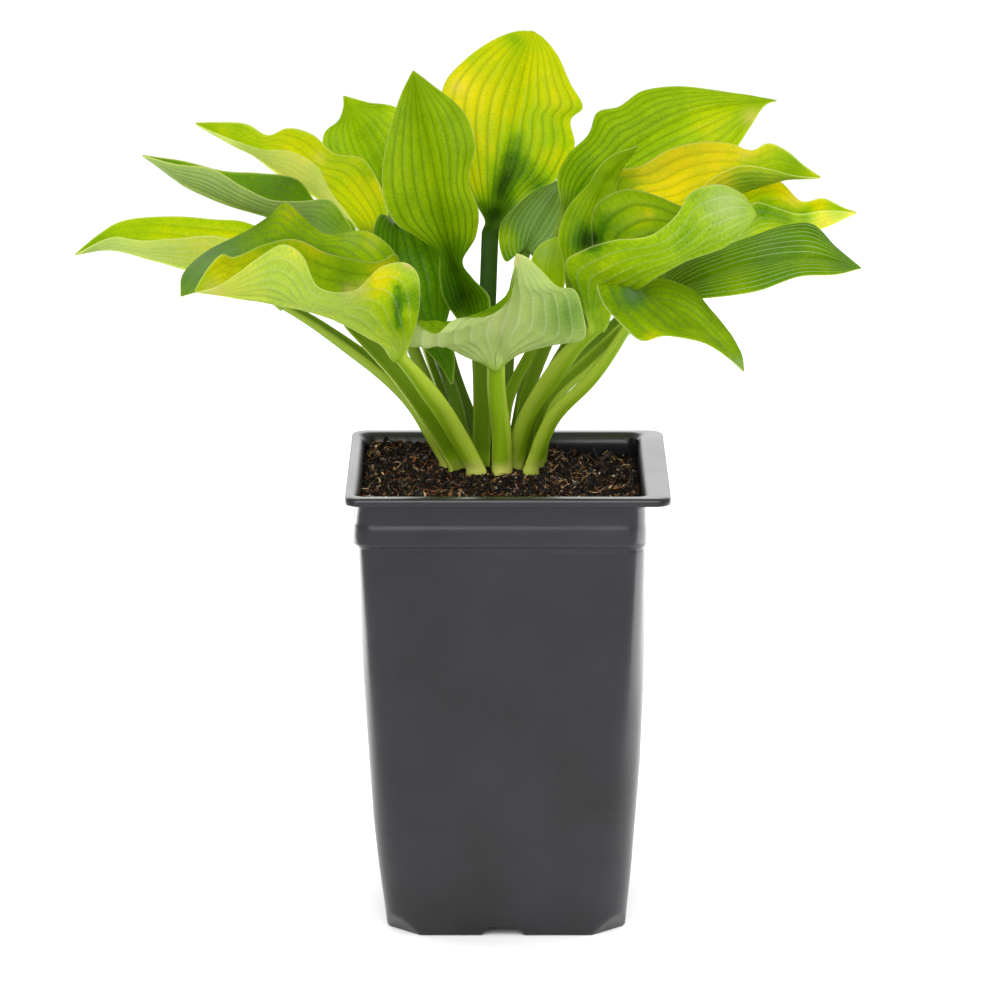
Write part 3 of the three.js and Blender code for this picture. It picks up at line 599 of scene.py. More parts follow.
class HostaSizes(bpy.types.PropertyGroup):
    """Sizes of the dressed plant, pot and soil."""

    blade_thickness: bpy.props.FloatProperty(
        name="Blade thickness", description="Thickness of a leaf blade between its veins",
        default=0.62 * MM, unit="LENGTH")
    vein_relief: bpy.props.FloatProperty(
        name="Vein relief", description="Height of the quilting, as a share of the veins' spacing",
        default=0.13, subtype="FACTOR")
    crumb_count: bpy.props.IntProperty(
        name="Crumbs", description="Number of loose crumbs on the soil", default=1500)
    fibre_count: bpy.props.IntProperty(
        name="Fibres", description="Number of loose peat fibres on the soil", default=5600)
    crumb_size: bpy.props.FloatProperty(
        name="Crumb size", description="Mean width of a crumb", default=1.5 * MM, unit="LENGTH")


class HostaColours(bpy.types.PropertyGroup):
    """Colours of the leaves, pot and soil."""

    # Deep green is the darkest leaf colour; the r spots that paint shade in the heart of the clump darken
    # a blade towards it.
    deep: bpy.props.FloatVectorProperty(
        name="Deep green", description="Leaf colour in the heart of the clump",
        default=linear("#163600"), subtype="COLOR")
    fresh: bpy.props.FloatVectorProperty(
        name="Fresh green", description="Leaf colour of a grown blade",
        default=linear("#508000"), subtype="COLOR")
    lime: bpy.props.FloatVectorProperty(
        name="Lime", description="Leaf colour of a young blade",
        default=linear("#95b200"), subtype="COLOR")
    gold: bpy.props.FloatVectorProperty(
        name="Gold", description="Leaf colour of a ripening blade",
        default=linear("#d6c700"), subtype="COLOR")
    scorch: bpy.props.FloatVectorProperty(
        name="Scorch", description="Dry peach tint near a ripe margin",
        default=linear("#f0c79a"), subtype="COLOR")
    underside: bpy.props.FloatVectorProperty(
        name="Underside", description="Waxy bloom under a blade",
        default=linear("#dfeaa4"), subtype="COLOR")
    # Silver is partly the blades' bloom and partly a painted sheen.
    silver_bloom_and_sheen: bpy.props.FloatVectorProperty(
        name="Silver bloom", description="Bloom on the shaded blades",
        default=linear("#8aa58c"), subtype="COLOR")
    # The margin colour is a painted rim light along each blade's edge.
    margin: bpy.props.FloatVectorProperty(
        name="Margin", description="Thin pale margin of each blade",
        default=linear("#dfea86"), subtype="COLOR")
    stalk: bpy.props.FloatVectorProperty(
        name="Petiole", description="Leaf stalks in the light",
        default=linear("#a4c41c"), subtype="COLOR")
    plastic: bpy.props.FloatVectorProperty(
        name="Pot", description="Moulded plastic of the pot",
        default=linear("#17161c"), subtype="COLOR")
    peat: bpy.props.FloatVectorProperty(
        name="Peat", description="Damp peat", default=linear("#150c07"), subtype="COLOR")
    fibre: bpy.props.FloatVectorProperty(
        name="Fibre", description="Dry peat fibre", default=linear("#9a6d3e"), subtype="COLOR")
    floor: bpy.props.FloatVectorProperty(
        name="Floor", description="Studio floor", default=linear("#fafafa"), subtype="COLOR")


# ---- helpers --------------------------------------------------------------------------------


def smooth(value):
    """Eases a value between 0 and 1 and holds it there beyond."""
    value = min(1.0, max(0.0, value))
    return value * value * (3 - 2 * value)


def mix(a, b, share):
    """Straight blend of two numbers."""
    return a + (b - a) * share


def add_node(tree, kind, inputs=None, stops=None, **settings):
    """Adds a node, sets its properties and colour stops, and fills or links its inputs."""
    made = tree.nodes.new(kind)
    for key, value in settings.items():
        setattr(made, key, value)
    for key, value in (inputs or {}).items():
        if isinstance(value, bpy.types.NodeSocket):
            tree.links.new(value, made.inputs[key])
        else:
            made.inputs[key].default_value = value
    if stops:
        elements = made.color_ramp.elements
        elements[0].position, elements[0].color = stops[0]
        elements[1].position, elements[1].color = stops[-1]
        for position, colour in stops[1:-1]:
            elements.new(position).color = colour
    return made


def new_material(name):
    """An empty material with its output node."""
    material = bpy.data.materials.new(name)
    material.use_nodes = True
    tree = material.node_tree
    tree.nodes.clear()
    return material, tree, tree.nodes.new("ShaderNodeOutputMaterial")


def new_mesh(name, mesh_data):
    """Turns a finished bmesh into a mesh."""
    mesh = bpy.data.meshes.new(name)
    mesh_data.to_mesh(mesh)
    mesh_data.free()
    return mesh


def new_object(name, data):
    """An object in the scene, at the origin."""
    made = bpy.data.objects.new(name, data)
    bpy.context.scene.collection.objects.link(made)
    return made


def new_piece(name, mesh_data, material, slot, *nodes):
    """Turns a finished bmesh into a piece that rides on the body and stands for CAD nodes."""
    mesh = new_mesh(name, mesh_data)
    mesh.shade_smooth()
    mesh.materials.append(material)
    piece = new_object(name, mesh)
    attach(piece, "root")
    if nodes:
        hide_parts(*nodes)
    return piece


def close_up(mesh_data, gap):
    """Joins points nearer than the gap, caps what is still open and turns the faces outward."""
    bmesh.ops.remove_doubles(mesh_data, verts=mesh_data.verts, dist=gap)
    open_edges = [edge for edge in mesh_data.edges if edge.is_boundary]
    bmesh.ops.holes_fill(mesh_data, edges=open_edges, sides=0)
    bmesh.ops.recalc_face_normals(mesh_data, faces=mesh_data.faces)


# ---- shape of the leaves --------------------------------------------------------------------
SPLINE_STEPS = 24       # straight steps between two points of a spline
STALK_FINE = 4          # rows drawn for each row of a CAD petiole
BLADE_FINE = 6          # rows drawn for each row of a CAD blade
VEIN_COLUMNS = 5        # columns from one vein to the next
EDGE = 0.985            # share of the way to the margin where its rounding starts
SWELLING = 0.28         # millimetres that a blade swells and sinks by
SWELLING_SCALE = 0.11   # swellings about 9 mm wide
NOISE_LAYER = 7.3
MARGIN_DROP = 0.3       # share of the thickness that the margin lies below the upper skin
STALK_SKIN = 0.8        # least depth of a petiole, in millimetres
RIB_DEPTH = 1.1         # millimetres that the midrib stands out below
VEIN_DEPTH = 0.16       # millimetres that a side vein stands out below
VEIN_SHARPNESS = 7
NECK_ROWS = 0.4         # rows below the joint over which a petiole thins
NECK_THINNING = 0.45    # share of its thickness that it loses there
HEEL_DEPTH = 0.55       # thickness of a petiole's heel under the blade, as a share of the petiole's
HEEL_ROWS = 2.4         # rows over which the heel runs out
JOINT_RIB = 0.85        # half-width of the midrib at the joint, as a share of the petiole's
TIP_RIB = 0.5           # half-width of the midrib at the tip, in millimetres
RIB_GROWTH = 1.1        # millimetres by which it widens towards the joint
SPREAD_ROWS = 1.6       # rows over which the petiole narrows to the midrib
# painted rim light: the pale margin stands for light caught along the edge
RIM_LIGHT_WIDTH = 0.32      # width of the pale margin, in millimetres
FOOT_ROWS = 0.12        # rows of the petiole over which its pale foot ends


def place(point):
    """The place in millimetres of a point on the drawing."""
    across, down, depth = point
    sin = math.sin(SIGHT_ELEVATION)
    cos = math.cos(SIGHT_ELEVATION)
    right = (across - SIGHT_MIDDLE) / SIGHT_FOCAL
    up = (SIGHT_MIDDLE - down) / SIGHT_FOCAL
    reach = (depth + SIGHT_DISTANCE * cos) / (cos + up * sin)
    height = SIGHT_AIM_Z + SIGHT_DISTANCE * sin + (up * cos - sin) * reach
    return Vector((SIGHT_AIM_X + right * reach, depth, height))


def drawn(point):
    """Where a place in millimetres lies on the drawing."""
    sin = math.sin(SIGHT_ELEVATION)
    cos = math.cos(SIGHT_ELEVATION)
    back = point.y + SIGHT_DISTANCE * cos
    rise = point.z - SIGHT_AIM_Z - SIGHT_DISTANCE * sin
    reach = back * cos - rise * sin
    across = SIGHT_MIDDLE + SIGHT_FOCAL * (point.x - SIGHT_AIM_X) / reach
    return across, SIGHT_MIDDLE - SIGHT_FOCAL * (rise * cos + back * sin) / reach


def even_line(points, steps):
    """Centripetal spline through the points, resampled at even steps of its length."""
    all_points = [points[0] * 2 - points[1], *points, points[-1] * 2 - points[-2]]
    fine = []
    for i in range(1, len(points)):
        p0, p1, p2, p3 = all_points[i - 1:i + 3]
        t1 = math.sqrt((p1 - p0).length)
        t2 = t1 + math.sqrt((p2 - p1).length)
        t3 = t2 + math.sqrt((p3 - p2).length)
        for k in range(SPLINE_STEPS):
            t = t1 + (t2 - t1) * k / SPLINE_STEPS
            a1 = p0.lerp(p1, t / t1)
            a2 = p1.lerp(p2, (t - t1) / (t2 - t1))
            a3 = p2.lerp(p3, (t - t2) / (t3 - t2))
            b1 = a1.lerp(a2, t / t2)
            b2 = a2.lerp(a3, (t - t1) / (t3 - t1))
            fine.append(b1.lerp(b2, (t - t1) / (t2 - t1)))
    fine.append(points[-1].copy())
    lengths = [0.0]
    for i in range(1, len(fine)):
        lengths.append(lengths[-1] + (fine[i] - fine[i - 1]).length)
    line = []
    at = 1
    for i in range(steps + 1):
        want = lengths[-1] * i / steps
        while at < len(fine) - 1 and lengths[at] < want:
            at += 1
        share = (want - lengths[at - 1]) / (lengths[at] - lengths[at - 1])
        line.append(fine[at - 1].lerp(fine[at], share))
    return line


def soil_level(x, y):
    """Height in millimetres of the CAD soil's top, without its crumbs."""
    away = math.hypot(x - CROWN[0], (y - CROWN[1]) * 0.9)
    mound = MOUND_HEIGHT * math.exp(-((away / MOUND_RADIUS) ** 2))
    tilt = SOIL_TILT[0] * x + SOIL_TILT[1] * y
    broad = 0.7 * math.sin(x * 0.21 + 1.3) * math.cos(y * 0.19 - 0.4)
    lumps = broad + 0.5 * math.sin(x * 0.47 - y * 0.39)
    return SOIL_TOP - MOUND_HEIGHT + mound + tilt + lumps * min(1, away / MOUND_RADIUS)


def stalk_rows(leaf, joint, across):
    """Rows of a petiole, from its buried foot up to the joint with the blade."""
    root_x, root_y = leaf["root"]
    level = soil_level(root_x, root_y)
    foot = Vector((root_x, root_y, level - STALK_DEPTH))
    neck = Vector((root_x, root_y, level + STALK_NECK))
    steps = STALK_ROWS * STALK_FINE
    path = even_line([neck, *[place(p) for p in leaf["stalk"]], joint], steps)
    root_across = Vector((across.x, across.y, 0)).normalized()
    rows = []
    for i, point in enumerate([foot, *path]):
        share = max(0, (i - 1) / steps)
        ahead = path[min(i, steps)] - path[max(i - 2, 0)]
        turn = smooth(share * STALK_ROWS)
        tangent = Vector((0, 0, 1)).lerp(ahead.normalized(), turn).normalized()
        wide = root_across.lerp(across, share)
        wide = (wide - tangent * wide.dot(tangent)).normalized()
        half = mix(leaf["width"][0], leaf["width"][1], share) / 2
        rows.append({
            "left": point - wide * half,
            "mid": point,
            "right": point + wide * half,
            "up": wide.cross(tangent),
            "half": half,
            "row": share - 1,
            "lift": (1 - share) * (STALK_RISE + STALK_LIFT * half),
        })
    return rows


def leaf_spine(leaf):
    """Rows of a leaf's upper face: middle, both margins, up direction and the row's facts."""
    joint = place(leaf["joint"])
    tip = place(leaf["tip"])
    left_in, mid_in, right_in = ([place(p) for p in leaf[k]] for k in ("left", "mid", "right"))
    across = (right_in[0] - left_in[0]).normalized()
    tip_across = (right_in[-1] - left_in[-1]).normalized() * (TIP_WIDTH / 2)
    rows = stalk_rows(leaf, joint, across)

    count = BLADE_ROWS * BLADE_FINE
    half = leaf["width"][1] / 2
    left = even_line([joint - across * half, *left_in, tip - tip_across], count)
    right = even_line([joint + across * half, *right_in, tip + tip_across], count)
    mid = even_line([joint, *mid_in, tip], count)
    for i in range(1, count + 1):
        wide = (right[i] - left[i]).normalized()
        ahead = (mid[min(i + BLADE_FINE, count)] - mid[max(i - BLADE_FINE, 0)]).normalized()
        rows.append({
            "left": left[i],
            "mid": mid[i],
            "right": right[i],
            "up": wide.cross(ahead).normalized(),
            "half": ((left[i] - mid[i]).length + (right[i] - mid[i]).length) / 2,
            "row": i / BLADE_FINE,
            "lift": 0,
        })
    return rows


def blade_taper(row):
    """Fades a blade's relief out over its last rows before the tip."""
    return min(1, (BLADE_ROWS - row) / BLADE_EASE)


def leaf_face(leaf, spine, shares):
    """Smooth upper face of a leaf, as a grid of points."""
    joint_half = leaf["width"][1] / 2
    grid = []
    for line in spine:
        row = max(0, line["row"])
        channel = 1 - smooth(row / CHANNEL_ROWS)
        sink = GROOVE * (line["half"] if line["row"] <= 0 else joint_half)
        # out * (1 - out) peaks at a quarter, so four times it peaks at the bow's full height
        arch = 4 * leaf["bow"] * blade_taper(row) * min(1, row / BLADE_EASE)
        cells = []
        for share in shares:
            out = abs(share)
            at = line["mid"].lerp(line["left"] if share < 0 else line["right"], out)
            height = line["lift"] - sink * (1 - out * out) * channel + arch * out * (1 - out)
            cells.append(at + line["up"] * height)
        grid.append(cells)
    return grid


def face_normals(grid):
    """Normal of each point of a grid, from its neighbours."""
    normals = []
    rows, columns = len(grid), len(grid[0])
    for r in range(rows):
        before, after = grid[max(r - 1, 0)], grid[min(r + 1, rows - 1)]
        line = []
        for c in range(columns):
            wide = grid[r][min(c + 1, columns - 1)] - grid[r][max(c - 1, 0)]
            line.append(wide.cross(after[c] - before[c]).normalized())
        normals.append(line)
    return normals


def quilt_height(leaf, line, base, out, veins, relief):
    """How far the upper skin stands off the smooth face: quilted between veins, and swollen."""
    row = max(0, line["row"])
    taper = blade_taper(row)
    rise = relief * line["half"] / veins * min(1, row / BLADE_EASE) * taper
    quilt = rise * abs(math.sin(math.pi * out * veins)) * (1 - out ** 8)
    seed = Vector((*leaf["root"], NOISE_LAYER))
    swell = SWELLING * noise.noise(base * SWELLING_SCALE + seed)
    return quilt + swell * smooth(row / CHANNEL_ROWS) * taper


def skin_depth(leaf, line, out, veins, thickness):
    """How far the lower skin lies under the upper one."""
    row = max(0, line["row"])
    if row == 0:
        slim = 1 - NECK_THINNING * smooth((line["row"] + NECK_ROWS) / NECK_ROWS)
        return STALK_SKIN + STALK_THICKNESS * slim * line["half"] * math.sqrt(1 - out * out)
    if out == 1:
        return thickness * MARGIN_DROP
    joint_half = leaf["width"][1] / 2
    rib_width = TIP_RIB + RIB_GROWTH * (1 - row / BLADE_ROWS)
    ridge_width = mix(JOINT_RIB * joint_half, rib_width, smooth(row / SPREAD_ROWS))
    ridge = math.exp(-((out * line["half"] / ridge_width) ** 2))
    heel = STALK_THICKNESS * HEEL_DEPTH * joint_half * (1 - smooth(row / HEEL_ROWS))
    from_vein = (out * veins + 0.5) % 1 - 0.5
    vein = VEIN_DEPTH * blade_taper(row) * math.exp(-((from_vein * VEIN_SHARPNESS) ** 2))
    depth = thickness + (RIB_DEPTH * blade_taper(row) + heel) * ridge
    depth += vein * smooth(row / CHANNEL_ROWS)
    return depth * math.sqrt(max(0, 1 - out ** 14))


def spot_value(spots, kind, across, down):
    """Sum of a leaf's spots of one kind at a place on the drawing."""
    total = 0.0
    for spot_kind, x, y, radius, amount in spots:
        if spot_kind == kind:
            apart = ((across - x) ** 2 + (down - y) ** 2) / (radius * radius)
            total += amount * math.exp(-apart) if apart < 9 else 0
    return total


def skin_facts(tones, line, base, out, upper, along):
    """What the leaf's material reads at a point, as colours and the petiole's painted light and shade."""
    row = max(0, line["row"])
    across, down = drawn(base)
    spot = {kind: spot_value(tones["spots"], kind, across, down) for kind in "rscb"}
    from_margin = (1 - out) * line["half"]
    # painted rim light along the margin
    margin = math.exp(-((from_margin / RIM_LIGHT_WIDTH) ** 2)) * smooth(row)
    under = 0.5 if out == 1 else (0.0 if upper else 1.0)
    silver_bloom_and_sheen = min(1, max(0, tones["silver_bloom_and_sheen"] + spot["s"]))
    stalk = 1 - smooth((line["row"] + 0.1) / SPREAD_ROWS)
    bloom = min(1, max(0, tones["bloom"] + spot["b"]))
    # the painted shade in the veins' grooves is darkest by the joint and faint towards the tip
    groove_shade = tones["groove_shade"] * (0.45 + 0.9 * (1 - row / BLADE_ROWS) ** 2)
    colours = {
        "lay": (out * tones["veins"], under, margin, along),
        "tone": (tones["ripe"] + spot["r"], silver_bloom_and_sheen, min(1, spot["c"]), stalk),
        "finish": (out, bloom, groove_shade, tones["pale"]),
    }
    # the petiole's painted light doubles at its foot, which is how the material finds the foot
    return colours, tones["stem"] * (2 - smooth((line["row"] + 1) / FOOT_ROWS))


def make_leaf(name, leaf, tones, material, sizes):
    """One leaf: a grid rolled round its petiole and blade into a closed, quilted skin."""
    veins = tones["veins"]
    half_count = veins * VEIN_COLUMNS
    shares = [i / half_count for i in range(half_count)] + [EDGE, 1.0]
    shares = [-s for s in reversed(shares[1:])] + shares
    relief = sizes.vein_relief
    thickness = sizes.blade_thickness / MM
    spine = leaf_spine(leaf)
    grid = leaf_face(leaf, spine, shares)
    normals = face_normals(grid)
    along = [0.0]
    for before, after in zip(spine, spine[1:]):
        along.append(along[-1] + (after["mid"] - before["mid"]).length)

    columns = len(shares) - 1
    ring = 2 * columns
    rows = len(grid) - 1
    mesh_data = bmesh.new()
    bmesh.ops.create_grid(mesh_data, x_segments=ring, y_segments=rows, size=1)
    layers = {key: mesh_data.verts.layers.float_color.new(key) for key in ("lay", "tone", "finish")}
    stem = mesh_data.verts.layers.float.new("stem")
    for vert in mesh_data.verts:
        step = round((vert.co.x + 1) / 2 * ring)
        r = round((vert.co.y + 1) / 2 * rows)
        upper = step <= columns
        c = step if upper else ring - step
        out = abs(shares[c])
        line = spine[r]
        base = grid[r][c]
        blade = smooth(max(0, line["row"]) / CHANNEL_ROWS)
        normal = line["up"].lerp(normals[r][c], blade).normalized()
        height = quilt_height(leaf, line, base, out, veins, relief)
        if not upper or out == 1:
            height -= skin_depth(leaf, line, out, veins, thickness)
        colours, vert[stem] = skin_facts(tones, line, base, out, upper, along[r])
        for key, colour in colours.items():
            vert[layers[key]] = colour
        vert.co = (base + normal * height) * MM
    close_up(mesh_data, 0.5e-3 * MM)
    return new_piece(name + "_skin", mesh_data, material, "leaf", name)


# ---- colour of the leaves -------------------------------------------------------------------
VEIN_REACH = {"groove": 0.26, "thread": 0.12, "crease": 0.08}    # shares of the veins' spacing
# painted shade: how a vein's groove and crease dim the colour beside them
VEIN_SHADE = (0.34, 0.5, 0.26, 1)       # how a vein dims the colour beside it
UNDER_GAIN = (1.35, 1.3, 1.2, 1)        # how much paler the lower face is
GLOW_TINT = (1.0, 1.0, 0.4, 1)          # what a blade lets through
PALE_VEIN = "#c9d9a8"
UNDER_VEIN = "#e6eec6"
STALK_STREAK = "#588206"
STALK_EDGE = "#cfe252"
STALK_FOOT = "#d2d668"
# painted light and shade: a petiole in the light takes the stalk colour, one in shade these darker greens
PAINTED_SHADE_STALK = ("#142b03", "#38600c")
BLOTCH_WIDTH = 8.333                    # millimetres
FINE_VEINS = 1.3                        # cells of the mesh of tiny veins in each millimetre


def leaf_material(colours):
    """Fresh leaf tissue, waxy above and dull below: light glows through it between its veins."""
    material, tree, output = new_material("fresh_leaf")
    facts = {}
    for key in ("lay", "tone", "finish"):
        node = add_node(tree, "ShaderNodeAttribute", attribute_name=key)
        split = add_node(tree, "ShaderNodeSeparateColor", {0: node.outputs["Color"]})
        facts[key] = (*split.outputs, node.outputs["Alpha"])
    vein_at, under, margin, along = facts["lay"]
    ripe, silver_bloom_and_sheen, scorch, stalk = facts["tone"]
    out, bloom, groove_shade, pale = facts["finish"]
    stem_painted_light = add_node(tree, "ShaderNodeAttribute", attribute_name="stem").outputs["Fac"]
    place_node = add_node(tree, "ShaderNodeTexCoord").outputs["Object"]

    # each vein is a broad groove with a sharp crease above, and a thin pale thread
    to_vein = add_node(tree, "ShaderNodeMath", {0: vein_at, 1: 0.5}, operation="PINGPONG").outputs[0]
    near = {}
    for key, reach in VEIN_REACH.items():
        near[key] = add_node(
            tree, "ShaderNodeMapRange", {0: to_vein, 1: 0.0, 2: reach, 3: 1.0, 4: 0.0},
            interpolation_type="SMOOTHSTEP").outputs[0]

    # soft blotches, and the mesh of tiny veins between the side veins
    blotch = add_node(tree, "ShaderNodeTexNoise", {
        "Vector": place_node, "Scale": 1 / (BLOTCH_WIDTH * MM), "Detail": 3.0,
        "Roughness": 0.55}).outputs[0]
    fine_across = add_node(tree, "ShaderNodeMath", {0: vein_at, 1: 2.4}, operation="MULTIPLY")
    fine_at = add_node(tree, "ShaderNodeCombineXYZ", {0: fine_across.outputs[0], 1: along})
    fine = add_node(tree, "ShaderNodeTexNoise", {
        "Vector": fine_at.outputs[0], "Scale": FINE_VEINS, "Detail": 2.0,
        "Roughness": 0.6}).outputs[0]
    for pattern, strength in ((blotch, 0.32), (fine, 0.45)):
        centred = add_node(tree, "ShaderNodeMath", {0: pattern, 1: -0.5}, operation="ADD").outputs[0]
        ripe = add_node(tree, "ShaderNodeMath", {0: centred, 1: strength, 2: ripe},
                        operation="MULTIPLY_ADD").outputs[0]
    skin = add_node(tree, "ShaderNodeValToRGB", {0: ripe}, stops=[
        (0.02, rgba(colours.deep)), (0.33, rgba(colours.fresh)),
        (0.63, rgba(colours.lime)), (0.92, rgba(colours.gold))]).outputs[0]

    # the upper face has painted shade in its veins' grooves and creases, and some leaves have a pale
    # thread along them
    painted_groove_shade = add_node(tree, "ShaderNodeMix", {0: 1.0, 6: skin, 7: VEIN_SHADE}, data_type="RGBA",
                    blend_type="MULTIPLY").outputs[2]
    upper = skin
    for key, pattern, least in (("groove", blotch, 0.35), ("crease", fine, 0.3)):
        uneven = add_node(tree, "ShaderNodeMath", {0: pattern, 1: least}, operation="ADD").outputs[0]
        groove_shade_share = add_node(tree, "ShaderNodeMath", {0: near[key], 1: groove_shade}, operation="MULTIPLY").outputs[0]
        share = add_node(tree, "ShaderNodeMath", {0: groove_shade_share, 1: uneven}, operation="MULTIPLY").outputs[0]
        upper = add_node(tree, "ShaderNodeMix", {0: share, 6: upper, 7: painted_groove_shade},
                         data_type="RGBA").outputs[2]
    share = add_node(tree, "ShaderNodeMath", {0: near["thread"], 1: pale}, operation="MULTIPLY").outputs[0]
    upper = add_node(tree, "ShaderNodeMix", {0: share, 6: upper, 7: rgba(PALE_VEIN)},
                     data_type="RGBA").outputs[2]

    # the lower face is paler, with bloom on it, and its veins are paler still
    lower = add_node(tree, "ShaderNodeMix", {0: 1.0, 6: skin, 7: UNDER_GAIN}, data_type="RGBA",
                     blend_type="MULTIPLY").outputs[2]
    lower = add_node(tree, "ShaderNodeMix", {0: bloom, 6: lower, 7: rgba(colours.underside)},
                     data_type="RGBA").outputs[2]
    waxy = add_node(tree, "ShaderNodeMath", {0: bloom, 1: 0.4, 2: 0.11},
                    operation="MULTIPLY_ADD").outputs[0]
    share = add_node(tree, "ShaderNodeMath", {0: near["thread"], 1: waxy}, operation="MULTIPLY").outputs[0]
    lower = add_node(tree, "ShaderNodeMix", {0: share, 6: lower, 7: rgba(UNDER_VEIN)},
                     data_type="RGBA").outputs[2]

    skin = add_node(tree, "ShaderNodeMix", {0: under, 6: upper, 7: lower}, data_type="RGBA").outputs[2]
    # rolled is the share of the painted rim light along the margin
    rolled = add_node(tree, "ShaderNodeMath", {0: margin, 1: 0.7}, operation="MULTIPLY").outputs[0]
    # silver is partly bloom and partly painted sheen
    for share, colour in ((silver_bloom_and_sheen, colours.silver_bloom_and_sheen), (scorch, colours.scorch), (rolled, colours.margin)):
        skin = add_node(tree, "ShaderNodeMix", {0: share, 6: skin, 7: rgba(colour)},
                        data_type="RGBA").outputs[2]

    # long fibres run down a petiole, which pales to its edges and its foot
    streak_across = add_node(tree, "ShaderNodeMath", {0: vein_at, 1: 2.2}, operation="MULTIPLY")
    streak_along = add_node(tree, "ShaderNodeMath", {0: along, 1: 0.05}, operation="MULTIPLY")
    streak_at = add_node(tree, "ShaderNodeCombineXYZ", {
        0: streak_across.outputs[0], 1: streak_along.outputs[0]}).outputs[0]
    streak = add_node(tree, "ShaderNodeTexNoise", {
        "Vector": streak_at, "Scale": 1.0, "Detail": 3.0}).outputs[0]
    stem = add_node(tree, "ShaderNodeMix", {
        0: streak, 6: rgba(STALK_STREAK), 7: rgba(colours.stalk)}, data_type="RGBA").outputs[2]
    to_edge = add_node(tree, "ShaderNodeMapRange", {0: out, 1: 0.55, 2: 1.0, 3: 0.0, 4: 0.5},
                       interpolation_type="SMOOTHSTEP").outputs[0]
    stem = add_node(tree, "ShaderNodeMix", {0: to_edge, 6: stem, 7: rgba(STALK_EDGE)},
                    data_type="RGBA").outputs[2]
    # painted shade: a petiole out of the light is drawn in darker greens
    shaded = add_node(tree, "ShaderNodeMix", {
        0: streak, 6: rgba(PAINTED_SHADE_STALK[0]), 7: rgba(PAINTED_SHADE_STALK[1])}, data_type="RGBA").outputs[2]
    stem = add_node(tree, "ShaderNodeMix", {0: stem_painted_light, 6: shaded, 7: stem},
                    data_type="RGBA").outputs[2]
    foot = add_node(tree, "ShaderNodeMapRange", {0: stem_painted_light, 1: 1.0, 2: 2.0}).outputs[0]
    stem = add_node(tree, "ShaderNodeMix", {0: foot, 6: stem, 7: rgba(STALK_FOOT)},
                    data_type="RGBA").outputs[2]
    skin = add_node(tree, "ShaderNodeMix", {0: stalk, 6: skin, 7: stem}, data_type="RGBA").outputs[2]

    rough = add_node(tree, "ShaderNodeMapRange", {0: under, 3: 0.4, 4: 0.58}).outputs[0]
    relief = add_node(tree, "ShaderNodeBump", {
        "Strength": 0.5, "Distance": 0.3 * MM, "Height": fine}).outputs[0]
    surface = add_node(tree, "ShaderNodeBsdfPrincipled", {
        "Base Color": skin, "Roughness": rough, "IOR": 1.42, "Specular IOR Level": 0.17,
        "Normal": relief}).outputs[0]
    # light crosses both faces of the blade, so each takes the square root of its colour
    root = add_node(tree, "ShaderNodeGamma", {0: skin, 1: 0.5}).outputs[0]
    tinted = add_node(tree, "ShaderNodeMix", {0: 1.0, 6: root, 7: GLOW_TINT}, data_type="RGBA",
                      blend_type="MULTIPLY").outputs[2]
    glow = add_node(tree, "ShaderNodeBsdfTranslucent", {"Color": tinted, "Normal": relief}).outputs[0]
    through = add_node(tree, "ShaderNodeMapRange", {0: under, 3: 0.58, 4: 0.36}).outputs[0]
    thin = add_node(tree, "ShaderNodeMapRange", {0: stalk, 3: 1.0, 4: 0.15}).outputs[0]
    share = add_node(tree, "ShaderNodeMath", {0: through, 1: thin}, operation="MULTIPLY").outputs[0]
    both = add_node(tree, "ShaderNodeMixShader", {0: share, 1: surface, 2: glow}).outputs[0]
    tree.links.new(both, output.inputs["Surface"])
    return material


class HOSTA_OT_leaves(bpy.types.Operator):
    """Model every leaf over its CAD leaf"""

    bl_idname = "hosta.leaves"
    bl_label = "Leaves"

    def execute(self, context):
        scene = context.scene
        material = leaf_material(scene.hosta_colours)
        for name, leaf in LEAVES.items():
            make_leaf(name, leaf, TONES[name], material, scene.hosta_sizes)
        return {"FINISHED"}


# ---- pot, in millimetres --------------------------------------------------------------------
CORNER_STEPS = 10
SIDE_SHARES = (-0.9, -0.75, -0.55, -0.4, -0.25, -0.15, 0, 0.15, 0.25, 0.4, 0.55, 0.75, 0.9)
FACET_INSET = 1.8       # how much further in the wall's inside is cut at the corners
POLE = (0.02, 0.01)     # half-width and corner radius of the ring at the middle of the floor
OUTSIDE_HEIGHTS = (
    0.2, 0.7, 1.5, 2.5, 3.6, 5, 6.5, 8, 9, 10, 12, 14, 17, 21, 27, 34, 40, 47, 55, 64, 72, 80, 88,
    96, 106, 116, 126, 136, 145, 152, 157, 159.5, 160.6, 161.2, 161.7, 162.1, 162.5, 162.9, 163.3,
    163.9, 164.6, 165.6, 167, 168.5, 170, 171, 171.6, 172.2, 173, 176, 178,
)
INSIDE_HEIGHTS = (
    179.5, 176, 173, 169.5, 166, 163, 160.5, 150, 136, 96, 60, 27, 14, 10, 6.5, FLOOR_HEIGHT,
)
DENT_LOW = 20           # the moulded wall is uneven between these heights
DENT_HIGH = 178
SHARP_ANGLE = math.radians(38)

